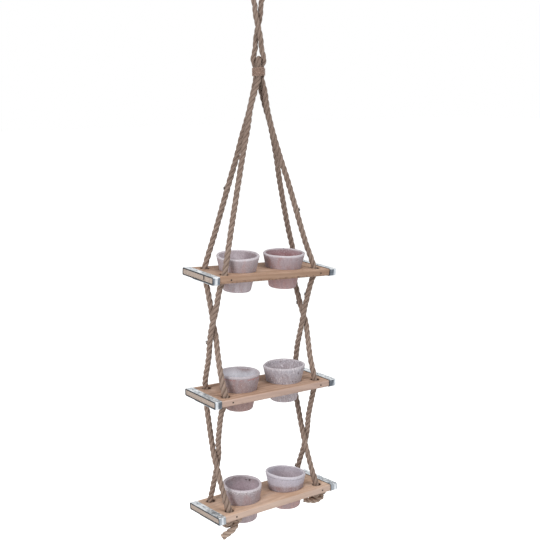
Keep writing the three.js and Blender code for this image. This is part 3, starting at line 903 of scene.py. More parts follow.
bands = {}
end_turns = {"left": Matrix.Identity(4), "right": Matrix.Rotation(math.pi, 4, "Z")}
for side_name, end_turn in end_turns.items():
    plain_band = band(band_wide[side_name])
    for tier in tiers:
        name = f"{tier}_band_{side_name}_folded"
        bands[tier, side_name] = copy_of(plain_band, name, on_tier[tier] @ end_turn)
    discard(plain_band)
print("band faces:", len(bands["top", "left"].data.polygons))

# %% [markdown]
# ## Tacks and nails
#
# Four small cut tacks hold each band, and one wire nail goes through each long edge into the rope
# beside it. Both start as a cylinder for the head, whose rim is bevelled into a low dome, and
# whose underside is inset and pulled out into the shank. One of each is modelled, then copied.

# %% Model a tack and a nail
tack_sizes = {"head": 3.2 * mm, "head_thick": 0.7 * mm, "shank": 1.2 * mm, "long": 9 * mm}
tack_point_share = 0.15
tack_place_shares = [0.35, 0.14, -0.06, -0.3]
nail_sizes = {"head": 3.6 * mm, "head_thick": 0.6 * mm, "shank": 1.8 * mm, "long": 26 * mm}
nail_point_share = 0.7
nail_aside = {("front", "left"): 4 * mm, ("back", "left"): -1 * mm,
              ("front", "right"): -1 * mm, ("back", "right"): -3 * mm}
pin_sides = 14
head_round_share = 0.6


def fastener(point_share, head, head_thick, shank, long):
    """A nail pointing down, with the underside of its head at zero."""
    pin = add(bpy.ops.mesh.primitive_cylinder_add, vertices=pin_sides, radius=head / 2,
              depth=head_thick, location=(0, 0, head_thick / 2))
    place(pin, "pin", Matrix.Identity(4))
    edit(pin)
    bevel_edges(pin, head_thick * head_round_share, 2, lambda middle, way: middle.z > head_thick * nearly)
    pick_faces(pin, lambda middle, normal: normal.z < -nearly)
    bpy.ops.mesh.inset(thickness=(head - shank) / 2)
    bpy.ops.mesh.extrude_region_move(TRANSFORM_OT_translate={"value": (0, 0, -long)})
    bpy.ops.transform.resize(value=(point_share, point_share, 1))
    done_editing()
    smooth(pin, 35)
    return pin


plain_tack = fastener(tack_point_share, **tack_sizes)
plain_nail = fastener(nail_point_share, **nail_sizes)
tacks = {}
nails = {}
for tier in tiers:
    for side_name, side in sides.items():
        x = side * (board_long / 2 - band_wide[side_name] / 2)
        for number, share in enumerate(tack_place_shares, 1):
            spot = on_tier[tier] @ Matrix.Translation((x, share * board_deep, band_over_board))
            name = f"{tier}_band_{side_name}_tack_{number}"
            tacks[name] = copy_of(plain_tack, f"{name}_domed", spot)
        for edge, face in edges.items():
            x = side * rope_hole_x + nail_aside[edge, side_name]
            out = Matrix.Translation((x, face * (board_deep / 2 + fit), board_middle))
            name = f"{tier}_rope_nail_{edge}_{side_name}"
            spot = on_tier[tier] @ out @ Matrix.Rotation(-face * math.pi / 2, 4, "X")
            nails[name] = copy_of(plain_nail, f"{name}_domed", spot)
discard(plain_tack)
discard(plain_nail)
print(len(tacks), "tacks,", len(nails), "nails")

# %% [markdown]
# ## Pots
#
# A small clay pot is thrown with a plain taper and a thick rounded lip. It is modelled as it is
# thrown: a ring at the drain hole is pulled outwards for the foot, up for the wall, over the lip
# and down again inside, each time by an extrude and a resize. Clay is never quite round or level,
# so each pot is then pushed out of true above the board, where it can't touch its hole.

# %% Throw the pots
pot_wall = 6.5 * mm
pot_floor = 6 * mm
pot_lip_round = 3 * mm
pot_base_round = 6 * mm
pot_inner_round = 1 * mm
pot_inner_flat = 4 * mm
drain_radius = 5 * mm
pot_sides = 112
pot_base_parts = 6
pot_lip_parts = 8
outer_ring_shares = (0.3, 0.6, 0.85)
inner_ring_shares = (0.12, 0.3, 0.6, 0.85)
clay_swell_shares = (0.3, 0.7)
clay_rough = 0.12 * mm
clay_rough_scale = 260
clay_lift = 0.5 * mm
clay_lift_scale = 2.3
towards_viewer = Vector((back.x, back.y, 0)).normalized()

# Of each rim: how wide it is for its plan, how far aside it stands, how much taller it is, its
# slant to the viewer, its tilt across the view, and any dents. A dent has the way that it faces,
# its height, its reach, its depth and how far it sinks the rim.
pot_shapes = {
    ("top", "left"): (1.01, -1 * mm, -2 * mm, -4 * mm, 1.6 * mm, ()),
    ("top", "right"): (1.01, 0, -2.4 * mm, -2.2 * mm, 1.2 * mm, ()),
    ("middle", "left"): (1.005, 0, 2.1 * mm, 0, 0, ()),
    ("middle", "right"): (1.028, 0, 1.8 * mm, 0, 1 * mm,
                          ((math.radians(205), pot_proud, 7 * mm, 0.9 * mm, 0),
                           (math.radians(132), pot_proud, 17 * mm, 0, 2.4 * mm))),
    ("bottom", "left"): (0.955, 2.2 * mm, 3.6 * mm, -3.6 * mm, -3.6 * mm, ()),
    ("bottom", "right"): (0.985, 1 * mm, 1 * mm, 1.2 * mm, -5 * mm, ()),
}


def arc(middle, height, radius, start, end, parts):
    """Points of an arc from one angle to the other, as a radius and a height."""
    turns = [start + (end - start) * part / parts for part in range(parts + 1)]
    return [(middle + radius * math.cos(turn), height + radius * math.sin(turn)) for turn in turns]


def wall_out(height):
    """How far out the wall stands at a height over the board."""
    return pot_rim_radius - pot_slope * (pot_proud - height)


def pot_outline():
    """The pot's half section, from the drain hole under it to the drain hole inside it."""
    foot = pot_proud - pot_tall
    round_top = foot + pot_base_round
    lip_foot = pot_proud - pot_lip_round
    outline = [(drain_radius, foot)]
    outline += arc(wall_out(round_top) - pot_base_round, round_top, pot_base_round,
                   -math.pi / 2, -math.atan(pot_slope), pot_base_parts)
    for share in outer_ring_shares:
        height = round_top + (pot_tall - pot_base_round) * share
        outline.append((wall_out(height), height))
    outline += arc(wall_out(lip_foot) - pot_lip_round, lip_foot, pot_lip_round, 0, math.pi, pot_lip_parts)
    for share in inner_ring_shares:
        height = pot_proud - share * (pot_tall - pot_floor - pot_lip_round) - pot_lip_round
        outline.append((wall_out(height) - pot_wall, height))
    floor = foot + pot_floor
    floor_out = wall_out(floor) - pot_wall
    outline.append((floor_out - pot_inner_round, floor + pot_inner_round))
    outline.append((floor_out - pot_inner_flat, floor))
    outline.append((drain_radius, floor))
    return outline


def thrown_pot():
    (radius, height), *rest = pot_outline()
    pot = add(bpy.ops.mesh.primitive_circle_add, vertices=pot_sides, radius=radius,
              location=(0, 0, height))
    place(pot, "pot", Matrix.Identity(4))
    edit(pot)
    bpy.ops.mesh.select_mode(type="EDGE")
    bpy.ops.mesh.select_all(action="SELECT")
    for next_radius, next_height in rest:
        rise = {"value": (0, 0, next_height - height)}
        bpy.ops.mesh.extrude_edges_move(TRANSFORM_OT_translate=rise)
        grow = next_radius / radius
        bpy.ops.transform.resize(value=(grow, grow, 1), center_override=(0, 0, next_height))
        radius, height = next_radius, next_height
    pick_edges(pot, lambda middle, way: abs(way.z) < hardly and middle.xy.length < drain_radius * 1.01)
    bpy.ops.mesh.bridge_edge_loops()
    bpy.ops.mesh.select_all(action="SELECT")
    bpy.ops.mesh.normals_make_consistent(inside=False)
    done_editing()
    smooth(pot, 60)
    return pot


def out_of_true(pot, seed, wide, aside, rise, slant, tilt, dents):
    """Pushes a pot's rim out of round and middle and off the level, and presses in any dents."""
    rng = np.random.default_rng(seed)
    swing = rng.uniform(0, 2 * math.pi, size=3)
    amount = rng.uniform(*clay_swell_shares, size=3) * mm
    for vertex in pot.data.vertices:
        spot = vertex.co
        share = max(0, min(1, spot.z / pot_proud))
        turn = math.atan2(spot.y, spot.x)
        away = Vector((math.cos(turn), math.sin(turn), 0))
        rough = noise.noise(spot * clay_rough_scale + Vector((seed, 0, 0))) * clay_rough * share
        wave = Vector((away.x, away.y, seed)) * clay_lift_scale
        push = sum(amount[k] * math.cos((k + 2) * turn + swing[k]) for k in range(3)) * share ** 2
        lift = noise.noise(wave) * clay_lift * share ** 4
        for way, height, reach, depth, sunk in dents:
            gap = away - Vector((math.cos(way), math.sin(way), 0))
            gap = gap * spot.xy.length + Vector((0, 0, spot.z - height))
            near = math.exp(-((gap.length / reach) ** 2))
            push -= depth * near
            lift -= sunk * near * share
        push += spot.xy.length * (wide - 1) * share
        lift += (rise + slant * spot.dot(towards_viewer) / pot_rim_radius) * share
        lift += tilt * spot.dot(level) / pot_rim_radius * share
        vertex.co = spot + away * (push + rough) + level * aside * share + Vector((0, 0, lift))


plain_pot = thrown_pot()
pots = {}
for number, tier in enumerate(tiers):
    for side_name, side in sides.items():
        pot = copy_of(plain_pot, f"{tier}_pot_{side_name}_thrown", Matrix.Identity(4))
        out_of_true(pot, 2 * number + (side > 0) + 3, *pot_shapes[tier, side_name])
        spot = on_tier[tier] @ Matrix.Translation((side * pot_x, 0, 0))
        pots[tier, side_name] = place(pot, pot.name, spot)
discard(plain_pot)
print("pot faces:", len(pots["top", "left"].data.polygons))

# %% [markdown]
# ## Writing finishes as sums
#
# A finish is a net of nodes. These two classes let it be written as ordinary arithmetic: a Wire is
# the output of a node, and adding or multiplying wires adds Math nodes. Every other node comes from
# one method. A finish also keeps its colour so far, so that dirt or wear can be laid over it.

# %% Wires and finishes


class Wire:
    """The output of a node. Sums and products of wires become Math nodes."""

    def __init__(self, finish, socket):
        self.finish = finish
        self.socket = socket

    def maths(self, operation, *values):
        return self.finish.node("ShaderNodeMath", {"operation": operation}, *values)

    def __add__(self, other):
        return self.maths("ADD", self, other)

    def __radd__(self, other):
        return self.maths("ADD", other, self)

    def __sub__(self, other):
        return self.maths("SUBTRACT", self, other)

    def __rsub__(self, other):
        return self.maths("SUBTRACT", other, self)

    def __mul__(self, other):
        return self.maths("MULTIPLY", self, other)

    def __rmul__(self, other):
        return self.maths("MULTIPLY", other, self)

    def __truediv__(self, other):
        return self.maths("DIVIDE", self, other)

    def __pow__(self, other):
        return self.maths("POWER", self, other)

    def __abs__(self):
        return self.maths("ABSOLUTE", self)

    def parts(self):
        """The three numbers of a vector."""
        return [self.finish.node("ShaderNodeSeparateXYZ", {}, self, output=k) for k in range(3)]

    def between(self, low, high):
        """Zero below low, one above high, and smooth in between. Low may be above high."""
        ends = (low, high, 0, 1) if low < high else (high, low, 1, 0)
        settings = {"interpolation_type": "SMOOTHSTEP"}
        return self.finish.node("ShaderNodeMapRange", settings, self, *ends)


class Finish:
    """A material whose nodes are added one by one."""

    def __init__(self, name):
        self.material = bpy.data.materials.new(name)
        self.material.use_nodes = True
        self.tree = self.material.node_tree
        self.shader = self.tree.nodes["Principled BSDF"]
        self.colour = None

    def node(self, kind, settings, *values, output=0, **named):
        made = self.tree.nodes.new(kind)
        for name, setting in settings.items():
            setattr(made, name, setting)
        shown = [socket for socket in made.inputs if socket.enabled]
        for socket, value in zip(shown, values):
            self.feed(socket, value)
        for name, value in named.items():
            self.feed(made.inputs[name.title()], value)
        outputs = [socket for socket in made.outputs if socket.enabled]
        return Wire(self, outputs[output])

    def feed(self, socket, value):
        if isinstance(value, Wire):
            self.tree.links.new(value.socket, socket)
        else:
            socket.default_value = value

    def mix(self, share, first, second):
        """From the first colour to the second as the share goes from 0 to 1."""
        colours = [paint(colour) if isinstance(colour, tuple) else colour for colour in (first, second)]
        return self.node("ShaderNodeMix", {"data_type": "RGBA"}, share, *colours)

    def over(self, share, colour):
        """Lays a colour over the one so far, as thick as the share."""
        self.colour = self.mix(share, self.colour, colour)

    def cloud(self, spot, detail=3, rough=0.5, seed=0.0, size=1):
        """Soft noise between 0 and 1. Size is how many of its humps fit in one unit."""
        if isinstance(spot, tuple):
            spot = self.node("ShaderNodeCombineXYZ", {}, *spot)
        moved = self.node("ShaderNodeVectorMath", {"operation": "ADD"}, spot, (seed, 2.1 * seed, seed))
        return self.node("ShaderNodeTexNoise", {"noise_dimensions": "3D"}, moved, Scale=size, Detail=detail,
                         Roughness=rough)

    def object_spot(self):
        return self.node("ShaderNodeTexCoord", {}, output=3)

    def in_place(self, tier, x=0.0):
        """Object coordinates as millimetres in a board's own frame, from a place along it."""
        middle = tuple(on_tier[tier] @ Vector((x, 0, 0)))
        turn = (tiers[tier]["dip"], tiers[tier]["lean"], 0)
        spot = self.node("ShaderNodeMapping", {"vector_type": "TEXTURE"}, self.object_spot(), middle, turn)
        return self.node("ShaderNodeVectorMath", {"operation": "SCALE"}, spot, Scale=1 / mm)

    def dress(self, roughness, height=None, depth=1 * mm, metallic=0.0):
        self.feed(self.shader.inputs["Base Color"], self.colour)
        self.feed(self.shader.inputs["Roughness"], roughness)
        self.feed(self.shader.inputs["Metallic"], metallic)
        if height:
            bump = self.node("ShaderNodeBump", {}, Strength=1.0, Distance=depth, Height=height)
            self.feed(self.shader.inputs["Normal"], bump)
        return self.material


def paint(screen_colour):
    """A colour from its three numbers as a screen shows them, 0 to 255."""
    shares = [value / 255 for value in screen_colour]
    linear = [share / 12.92 if share <= 0.04045 else ((share + 0.055) / 1.055) ** 2.4 for share in shares]
    return (*linear, 1)


print("a mid grey is", [round(value, 3) for value in paint((128, 128, 128))])

# %% [markdown]
# ## Jute
#
# The rope's own map tells where a spot lies: whole numbers across are the grooves between two
# strands, and the middle of each number is a strand's crest. The yarns in a strand are spun the
# other way from the lay, so they run almost straight up the rope. The grooves are painted darker,
# as painted shade, and a few fibres are reddish. The upper part is painted darker, and the knots
# are painted paler, as painted light from below.

# %% Finish for rope and twine


def jute(name, pale, brown, shade, yarns, slope, seed, upper_darkening):
    finish = Finish(name)
    across, along = finish.node("ShaderNodeUVMap", {"uv_map": "lay"}).parts()[:2]
    strand = across.maths("FRACT", across)
    groove_shade = (1 - strand * (1 - strand) * 4) ** 2.2
    slide = across + along * slope
    ruffle = finish.cloud((across * 1.5, along * 1.2, seed), 2)
    yarn = across.maths("COSINE", (slide + ruffle * 0.25) * (yarns * 2 * math.pi)) * 0.5 + 0.5
    hair = finish.cloud((slide * 14, along * 1.1, seed), 4, 0.65)
    patch = finish.cloud((across * 0.6, along * 0.35, seed + 4))
    tone = (hair - 0.5) * 1.5 + (patch - 0.5) * 0.9 + 0.52 + yarn * 0.08
    finish.colour = finish.mix(tone, brown, pale)
    red = finish.cloud((slide * 9, along * 0.8, seed + 9), 3, 0.6).between(0.6, 0.74)
    finish.over(red * 0.4, (150, 98, 78))
    # Painted shade in the grooves between the strands.
    finish.over(groove_shade * 0.8, shade)
    height = finish.object_spot().parts()[2]
    # The rope is painted darker on its upper part.
    finish.over(height.between(-0.8, -0.3) * upper_darkening, (98, 82, 72))
    return finish.dress(hair * 0.1 + 0.86, yarn * 0.45 + hair * 0.6, 0.5 * mm)


rope_finish = jute("jute_rope", (172, 152, 139), (124, 103, 91), (80, 61, 52), 4, 0.55, 1.7, 0.36)
# The knots are a paler copy of the rope's finish, as painted light from below.
knot_lit_finish = jute("jute_knot_painted_light", (198, 178, 162), (154, 132, 117), (104, 82, 70), 4, 0.55, 3.1, 0.36)
twine_finish = jute("jute_twine", (194, 167, 151), (164, 133, 117), (124, 96, 84), 3, 0.3, 5.2, 0.0)


def fibre_finish(name, brown, pale):
    finish = Finish(name)
    tone = finish.cloud(finish.object_spot(), 1, size=190)
    finish.colour = finish.mix(tone.between(0.35, 0.65), brown, pale)
    return finish.dress(0.9)


loose_finish = fibre_finish("jute_fibre", (120, 96, 78), (196, 176, 156))
tuft_finish = fibre_finish("jute_bark", (52, 40, 32), (92, 74, 62))
print("jute:", rope_finish.name, twine_finish.name, loose_finish.name)

# %% [markdown]
# ## Softwood
#
# Real wood has its pattern all through it, so the finish is made in solid space: growth rings
# round a pith that lies outside the board, stretched along its length. The same rings then meet
# at the top, the edges and the end grain by themselves. Over that go fine pores, painted light
# and shade on the long edges, a paler sawn end, dirt worked into the rims of the holes, painted
# shade on the inner walls of the rope holes, and stains along the lower front edge.

# %% Finish for the boards


def softwood(tier, seed, pith, pale, warm, edge_light_and_shade, grain, stained, crack=None):
    finish = Finish(f"softwood_{tier}")
    spot = finish.in_place(tier)
    x, y, z = spot.parts()
    wave = finish.cloud((x * 0.004, y * 0.02, z * 0.02), 2, 0.5, seed) - 0.5
    off_y = y - pith[0] + wave * 60
    off_z = z - pith[1] + wave * 24
    radius = (off_y * off_y + off_z * off_z) ** 0.5
    ring = radius.maths("FRACT", radius / 7.5)
    late = ring.between(0.3, 0.85) * ring.between(1.0, 0.9)
    pore = finish.cloud((x * 0.05, y * 1.6, z * 1.6), 4, 0.65, seed)
    drift = finish.cloud((x * 0.012, y * 0.04, z * 0.1), 3, 0.5, seed + 3)
    dark = (152, 116, 94)
    finish.colour = finish.mix(drift.between(0.3, 0.7), warm, pale)
    finish.over(late * grain, dark)
    finish.over(pore.between(0.48, 0.7) * 0.45, dark)
    # Painted light and shade on the long edges and on the front and back faces.
    finish.over(abs(y).between(61.8, 63.4) * 0.6, edge_light_and_shade)

    end = abs(x).between(162.2, 162.7)
    sawn = finish.cloud(spot, 4, 0.7, seed, 0.5)
    end_colour = finish.mix(sawn.between(0.3, 0.7), (158, 140, 128), (202, 188, 176))
    finish.over(end, finish.mix(late * 0.25, end_colour, (150, 124, 108)))

    hole_x = abs(x) - rope_hole_x / mm
    hole_y = abs(y) - rope_hole_y / mm
    from_hole = (hole_x * hole_x + hole_y * hole_y) ** 0.5
    pot_off = abs(x) - pot_x / mm
    from_pot = (pot_off * pot_off + y * y) ** 0.5
    grime = from_hole.between(14.5, 9.5) + from_pot.between(45.5, 40) * 0.8
    finish.over(grime * (pore * 0.7 + 0.1), (98, 66, 46))
    # Painted shade on the inner walls of the rope holes.
    finish.over(from_hole.between(10.4, 9.8) * 0.7, (70, 46, 34))

    low = z.between(-8.5, -13) * y.between(-61.5, -63.6)
    stain = finish.cloud((x * 0.16, y, z * 0.3), 4, 0.7, seed + 6).between(0.5, 0.6)
    finish.over(low * stain * stained, (84, 58, 44))
    scuff = finish.cloud((x * 0.2, y * 0.4, z * 0.4), 4, 0.7, seed + 8).between(0.64, 0.74)
    finish.over(scuff * 0.4, (112, 80, 60))
    height = pore * 0.5 - late * 0.35 - scuff * 0.3 + sawn * end * 0.8
    if crack:
        crack_y, crack_deep = crack
        shake = finish.cloud((z * 0.7, y * 0.7, x * 0.2), 2, 0.5, seed) - 0.5
        gap = abs(y - crack_y + shake * 1.6)
        split = gap.between(2.8, 1.6) * z.between(-crack_deep, -crack_deep + 2) * x.between(-150, -161)
        finish.over(split, (42, 30, 24))
        height = height - split * 3
    return finish.dress(pore * 0.2 + 0.62, height, 0.25 * mm)


board_finish = {
    "top": softwood("top", 2.0, (-18, -70), (204, 172, 149), (180, 146, 120),
                    (148, 118, 98), 0.62, 0.9, crack=(-25.6, 12)),
    "middle": softwood("middle", 6.5, (34, -88), (206, 174, 152), (184, 150, 126),
                       (196, 172, 162), 0.62, 0.25),
    "bottom": softwood("bottom", 11.0, (-40, 60), (222, 192, 170), (206, 170, 142),
                       (204, 182, 170), 0.22, 0.1),
}
print("boards:", [material.name for material in board_finish.values()])

# %% [markdown]
# ## Galvanised sheet
#
# Zinc freezes on steel in crystals, the spangle. Voronoi cells stand for them: each has its own
# grey and its own gloss. The strip is bright on top. Its front and back faces carry a painted
# reflection: dark blue-grey blotches, with a painted highlight at one place along the band. The
# turned-in lip is dark, partly as the bare cut edge of the sheet and partly as painted shade and
# painted reflection, and the right bands have a painted shadow along their inner cut edge.

# %% Finish for the bands


def galvanised(tier, seed, left_highlight_x, right_highlight_x, reach, worn, dark_reflection):
    finish = Finish(f"galvanised_{tier}")
    spot = finish.in_place(tier)
    x, y, z = spot.parts()
    cell = finish.node("ShaderNodeTexVoronoi", {"feature": "F1"}, spot, Scale=0.24, output=1)
    grey = cell.parts()[0]
    smear = finish.cloud((x * 0.12, y * 0.06, z * 0.12), 4, 0.6, seed)
    tone = grey * 0.3 + smear.between(0.36, 0.62) * 0.7
    finish.colour = finish.mix(tone, (168, 176, 184), (240, 242, 243))
    side = abs(y).between(64.1, 64.7)
    on_right = x.between(-1, 1)
    # Painted highlight and painted reflection on the front and back faces.
    from_highlight = abs(abs(x) - left_highlight_x + on_right * (left_highlight_x - right_highlight_x))
    reflection_blotch = finish.cloud((x * 0.2, y, z * 0.1), 2, 0.5, seed + 2)
    side_painted_reflection = from_highlight.between(reach + 4, reach - 1) * 0.9 + (reflection_blotch - 0.5) * 0.9
    finish.over(side, finish.mix(side_painted_reflection, dark_reflection, (214, 219, 224)))
    # Painted shadow along the inner cut edge of the right bands.
    inner_edge_shadow = (abs(x) - 147 + on_right * 2).between(2, 1.2) * on_right
    finish.over(inner_edge_shadow * 0.8, (52, 54, 58))
    # The turned-in lip is dark: partly the bare cut edge, partly painted shade and painted reflection.
    lip = abs(x).between(163.3, 163.8)
    finish.over(lip, (66, 68, 72))
    speck = finish.cloud(spot, 3, 0.65, seed + 5, 0.5).between(0.62, 0.72)
    finish.over(speck * 0.65, (92, 94, 96))
    rub = finish.cloud((x * 0.35, y * 0.08, z), 3, 0.6, seed + 9).between(0.44, 0.58)
    finish.over(rub * y.between(10, -30) * (1 - side) * worn, (104, 108, 112))
    rough = 0.4 + grey * 0.14 + speck * 0.3 + lip * 0.2
    dent = finish.cloud((x * 0.2, y * 0.05, z * 0.12), 1, 0.5, seed + 7)
    return finish.dress(rough, dent * 0.6 + grey * 0.03, 0.9 * mm, 0.9)


band_finish = {
    "top": galvanised("top", 3.0, 156, 161, 2, 0.2, (98, 105, 114)),
    "middle": galvanised("middle", 6.0, 159.5, 162, 2, 0.45, (90, 96, 104)),
    "bottom": galvanised("bottom", 9.0, 155, 158, 1, 0.8, (150, 156, 162)),
}
print("bands:", [material.name for material in band_finish.values()])

# %% [markdown]
# ## Tacks and nails again
#
# The nails are plain iron, nearly black, with brown rust in patches. The tacks are zinc plated,
# like the bands that they hold.

# %% Finish for the tacks and nails


def pin_finish(name, edges, dark, pale, rough, depth, metallic):
    """Iron or zinc in soft patches. Rough is what the patches add, and the least that it can be."""
    finish = Finish(name)
    patch = finish.cloud(finish.object_spot(), 3, 0.6, size=420)
    finish.colour = finish.mix(patch.between(*edges), dark, pale)
    return finish.dress(patch * rough[0] + rough[1], patch, depth, metallic)


nail_finish = pin_finish("old_iron", (0.42, 0.6), (26, 23, 22), (48, 34, 27), (0.25, 0.6), 0.2 * mm, 0.4)
tack_finish = pin_finish("zinc_tack", (0.35, 0.65), (120, 124, 130), (182, 187, 192), (0.2, 0.35), 0.15 * mm,
                         0.9)
print("iron:", nail_finish.name, tack_finish.name)

# %% [markdown]
# ## Whitewashed clay
#
# The pots are pink clay under a thin, worn wash of lime. The wash lies thick on the lip and thin
# on the wall, where the clay shows through in clouds and specks, and fine rings from throwing run
# round the wall. The spot on the pot is first brought back to what it was before the rim was
# pushed, so that the lip's paint follows the lip. Each pot has its own clay, wash and wear.

# %% Finish for the pots


def whitewashed(tier, side_name, seed, clay, wash, lip, foot, inside_lit_dark, inside_lit_pale, cover, streaky=1.2,
                scratches=0.0, band=0.0, drips=0.0, line=None, marks=()):
    finish = Finish(f"clay_{tier}_{side_name}")
    spot = finish.in_place(tier, sides[side_name] * pot_x)
    x, y, z = spot.parts()
    wide, aside, rise, slant, tilt = pot_shapes[tier, side_name][:5]
    up = z.between(0, pot_proud / mm)
    lift = (x * towards_viewer.x + y * towards_viewer.y) * (slant / pot_rim_radius)
    lift = lift + (x * level.x + y * level.y) * (tilt / pot_rim_radius) + rise / mm
    z = z - up * lift
    shrink = 1 - up * (wide - 1)
    x = (x - up * (level.x * aside / mm)) * shrink
    y = (y - up * (level.y * aside / mm)) * shrink
    radius = (x * x + y * y) ** 0.5
    into_wall = pot_rim_radius / mm - (pot_proud / mm - z) * pot_slope - radius
    within = into_wall.between(5.2, 6.2)
    outside = into_wall.between(3, 2)
    fine = finish.cloud(spot, 4, 0.7, seed + 2, 0.4)
    speckle = fine - 0.5
    cloudy = finish.cloud(spot, 3, 0.6, seed, 0.04)
    drip = finish.cloud((x * 0.1, y * 0.1, z * 0.02), 3, 0.6, seed + 4)
    thick = cloudy * (0.6 + streaky / 2) + speckle * 0.8 + (drip - 0.5) * streaky + cover
    thick = thick + z.between(8, 22) * band
    finish.colour = finish.mix(thick.between(0.2, 0.85), clay, wash)
    # The foot below the board has a colour of its own, and is painted lighter, as painted light where the
    # board shades it.
    finish.over(z.between(-6, -20) * (0.7 + (drip - 0.5) * 2), foot)
    # The inside is painted lighter, as painted light, over its own colours.
    inner = finish.mix((cloudy * 1.6 + fine * 0.5 - 0.65).between(0.1, 0.9), inside_lit_dark, inside_lit_pale)
    finish.over(within, finish.mix(z.between(17, 33) * 0.45, inner, wash))
    rim = (z - within * 2.4 + speckle * 1.6).between(31, 32.2)
    finish.over(rim * (fine * 0.4 + 0.6), lip)
    grain = finish.cloud(spot, 5, 0.8, seed + 5, 0.38)
    finish.over(grain.between(0.52, 0.66) * 0.6, (222, 214, 220))
    finish.over(grain.between(0.47, 0.32) * 0.55, (108, 84, 86))
    rings = z.maths("SINE", z * 2.6 + fine * 3) * 0.5 + 0.5
    height = rings * 0.15 + fine * 0.8 + grain * 0.4
    if scratches:
        scratch = finish.cloud((x * 0.3 + z * 0.08, y * 0.3, z * 0.12), 4, 0.85, seed + 9)
        finish.over(scratch.between(0.45, 0.34) * 0.75, (112, 96, 100))
        scratch = scratch.between(0.51, 0.6) * scratches
        finish.over(scratch, (232, 227, 233))
        height = height + scratch * 1.4
    if drips:
        blob = finish.cloud((x * 0.26, y * 0.26, z * 0.34), 5, 0.75, seed + 3)
        blob = (blob + z.between(20, 31) * 0.1).between(0.56, 0.66) * z.between(21, 29) * z.between(35, 31)
        finish.over(blob * drips * outside, (230, 226, 230))
        height = height + blob * drips * 1.2
    if line:
        tint, line_height, broken = line
        breaks = finish.cloud((x * 0.12, y * 0.12, seed), 4, 0.7).between(0.44, 0.54)
        thin = abs(z - line_height + speckle * 2).between(1.1, 0.5)
        finish.over(thin * breaks * broken * outside, tint)
    for middle, width in marks:
        gap = finish.node("ShaderNodeVectorMath", {"operation": "DISTANCE"}, spot, middle)
        blot = (gap + speckle * width).between(width, width * 0.5)
        finish.over(blot * 0.85, (70, 52, 52))
        height = height - blot * 1.5
    return finish.dress(fine * 0.12 + 0.8, height, 0.35 * mm)


# Of each pot: its clay, wash, lip, foot (its own colour, painted lighter as painted light) and the
# two colours inside (painted lighter as painted light), how well the wash covers, and what only
# that pot has.
grey_lip = (212, 206, 211)
pot_paints = {
    ("top", "left"): ((178, 150, 150), (174, 164, 170), grey_lip, (206, 194, 200),
                      (160, 144, 150), (194, 184, 190), 0.12, {}),
    ("top", "right"): ((172, 136, 134), (174, 160, 167), grey_lip, (192, 154, 152),
                       (146, 100, 102), (172, 134, 138), 0.12, {"marks": (((24.5, 36.5, 33.5), 2.4),)}),
    ("middle", "left"): ((164, 138, 136), (164, 150, 154), (192, 187, 193), (184, 152, 146),
                         (214, 214, 221), (232, 232, 238), 0.06, {"line": ((176, 108, 104), 28.2, 0.8)}),
    ("middle", "right"): ((168, 152, 157), (186, 182, 192), grey_lip, (208, 196, 200),
                          (178, 166, 172), (206, 200, 206), 0.16,
                          {"scratches": 0.8,
                           "marks": (((9.2, -44.6, 24), 2.2), ((-4, -42, 6), 2), ((3, -42, 5), 1.6))}),
    ("bottom", "left"): ((168, 142, 145), (172, 162, 168), (212, 205, 211), (196, 180, 184),
                         (186, 168, 176), (210, 197, 205), 0.08,
                         {"drips": 0.8, "marks": (((29.7, 26.8, 32), 2.4), ((35, 19.4, 31.5), 3))}),
    ("bottom", "right"): ((154, 132, 133), (199, 196, 209), (218, 214, 222), (206, 168, 164),
                          (176, 164, 172), (202, 192, 200), 0.1,
                          {"streaky": 0.2, "band": 0.75, "line": ((96, 78, 78), 28.5, 0.4)}),
}
pot_finish = {}
for number, (pot_place, (*colours, wear)) in enumerate(pot_paints.items()):
    pot_finish[pot_place] = whitewashed(*pot_place, 1.0 + 3 * number, *colours, **wear)
print("pots:", len(pot_finish), "finishes")

# %% [markdown]
# ## Putting it together
#
# Every piece now gets its finish, hides the plain solid that it stands for, and goes on the body
# that it rides on. Only the pots move, each on its own body.

# %% Dress the frame


def fit_out(piece, finish, slot, body, *nodes):
    piece.data.materials.clear()
    piece.data.materials.append(finish)
    if nodes:
        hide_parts(*nodes)
    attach(piece, body)


for tier, board in boards.items():
    fit_out(board, board_finish[tier], "wood", "shelf", f"{tier}_board")
for (tier, side_name), wrap in bands.items():
    fit_out(wrap, band_finish[tier], "zinc", "shelf", f"{tier}_band_{side_name}")
for (tier, side_name), pot in pots.items():
    node = f"{tier}_pot_{side_name}"
    fit_out(pot, pot_finish[tier, side_name], "clay", node, node)
for name, tack in tacks.items():
    fit_out(tack, tack_finish, "iron", "shelf", name)
for name, nail in nails.items():
    fit_out(nail, nail_finish, "iron", "shelf", name)
fit_out(bight_rope, rope_finish, "jute", "shelf", "bight_rope")
fit_out(loop_rope, rope_finish, "jute", "shelf", "loop_rope")
fit_out(binding, twine_finish, "jute", "shelf", "binding_twine")
for corner, knot in knots.items():
    fit_out(knot, knot_lit_finish, "jute", "shelf", f"knot_{corner}")
for hairs in (bight_fibres, loop_fibres, binding_fibres, *knot_fibres.values()):
    fit_out(hairs, loose_finish, "jute", "shelf")
for hairs in (bight_tufts, loop_tufts):
    fit_out(hairs, tuft_finish, "jute", "shelf")

ropes = (
    (bight_rope, bight_centre, (bight_fibres, bight_tufts), ("front_left", "back_right")),
    (loop_rope, loop_centre, (loop_fibres, loop_tufts), ("back_left", "front_right")),
)
for rope, centre, hairs, ends in ropes:
    end_pieces = [knots[corner] for corner in ends] + [knot_fibres[corner] for corner in ends]
    tuple(centre[0])
    round(float(run_along(centre)[-1]), 2)
    [tuple(p) for p in centre]
    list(hairs)

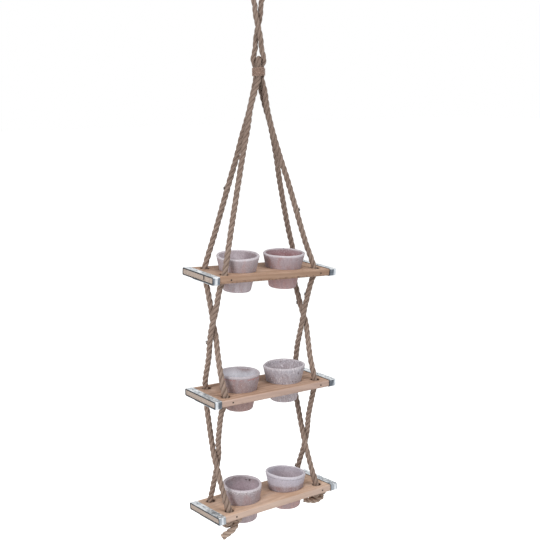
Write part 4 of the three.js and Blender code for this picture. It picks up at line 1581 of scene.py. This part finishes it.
# %% [markdown]
# ## Floor, air and light
#
# The photograph has a pure white ground. Here the floor and the air are white to the camera
# through Light Path, and only lit plainly otherwise, so that the shelf isn't washed out by them.
# One lamp stands low to the left, and throws each left pot's shadow on its neighbour, as in the
# photograph. A broad one hangs high on the right, and the air fills the shadows.

# %% Light the studio
floor_height = -1.5
floor_wide = 60
floor_white = 0.7
floor_grey = 0.95
air_light = 0.46
lamp_distance = 2.3
lamps = {
    "key": {"turn": -66, "rise": 18, "wide": 0.7, "power": 26},
    "top": {"turn": 25, "rise": 55, "wide": 1.4, "power": 24},
}


def seen_directly(finish):
    """One for what the camera sees, straight, in a reflection or through glass."""
    straight, glossy, through = [finish.node("ShaderNodeLightPath", {}, output=k) for k in (0, 3, 6)]
    either = straight.maths("MAXIMUM", straight, glossy)
    return either.maths("MAXIMUM", either, through)


def studio_floor():
    floor = add(bpy.ops.mesh.primitive_plane_add, size=floor_wide, location=(0, 0, 0))
    place(floor, "studio_floor", Matrix.Translation((0, 0, floor_height)))
    finish = Finish("studio_floor")
    inputs = finish.shader.inputs
    finish.feed(inputs["Base Color"], (floor_grey, floor_grey, floor_grey, 1))
    finish.feed(inputs["Roughness"], 1.0)
    finish.feed(inputs["Specular IOR Level"], 0.0)
    finish.feed(inputs["Emission Color"], seen_directly(finish))
    finish.feed(inputs["Emission Strength"], floor_white)
    floor.data.materials.append(finish.material)


class Air(Finish):
    """The world, written like a finish."""

    def __init__(self):
        world = bpy.data.worlds.new("air")
        world.use_nodes = True
        bpy.context.scene.world = world
        self.tree = world.node_tree
        self.ground = self.tree.nodes["Background"]


def lamp(name, turn, rise, wide, power):
    """A broad square lamp that looks at the shelf's middle."""
    light = bpy.data.lights.new(name, "AREA")
    light.shape = "SQUARE"
    light.size = wide
    light.energy = power
    axes = axes_of(math.radians(turn), math.radians(rise))[:3]
    stand(bpy.data.objects.new(name, light), *axes, lamp_distance)


studio_floor()
air = Air()
air.feed(air.ground.inputs["Color"], (1, 1, 1, 1))
air.feed(air.ground.inputs["Strength"], seen_directly(air) * (1 - air_light) + air_light)
for name, settings in lamps.items():
    lamp(name, **settings)
bpy.context.scene.view_settings.view_transform = "Standard"
print("lit with two lamps and the air")
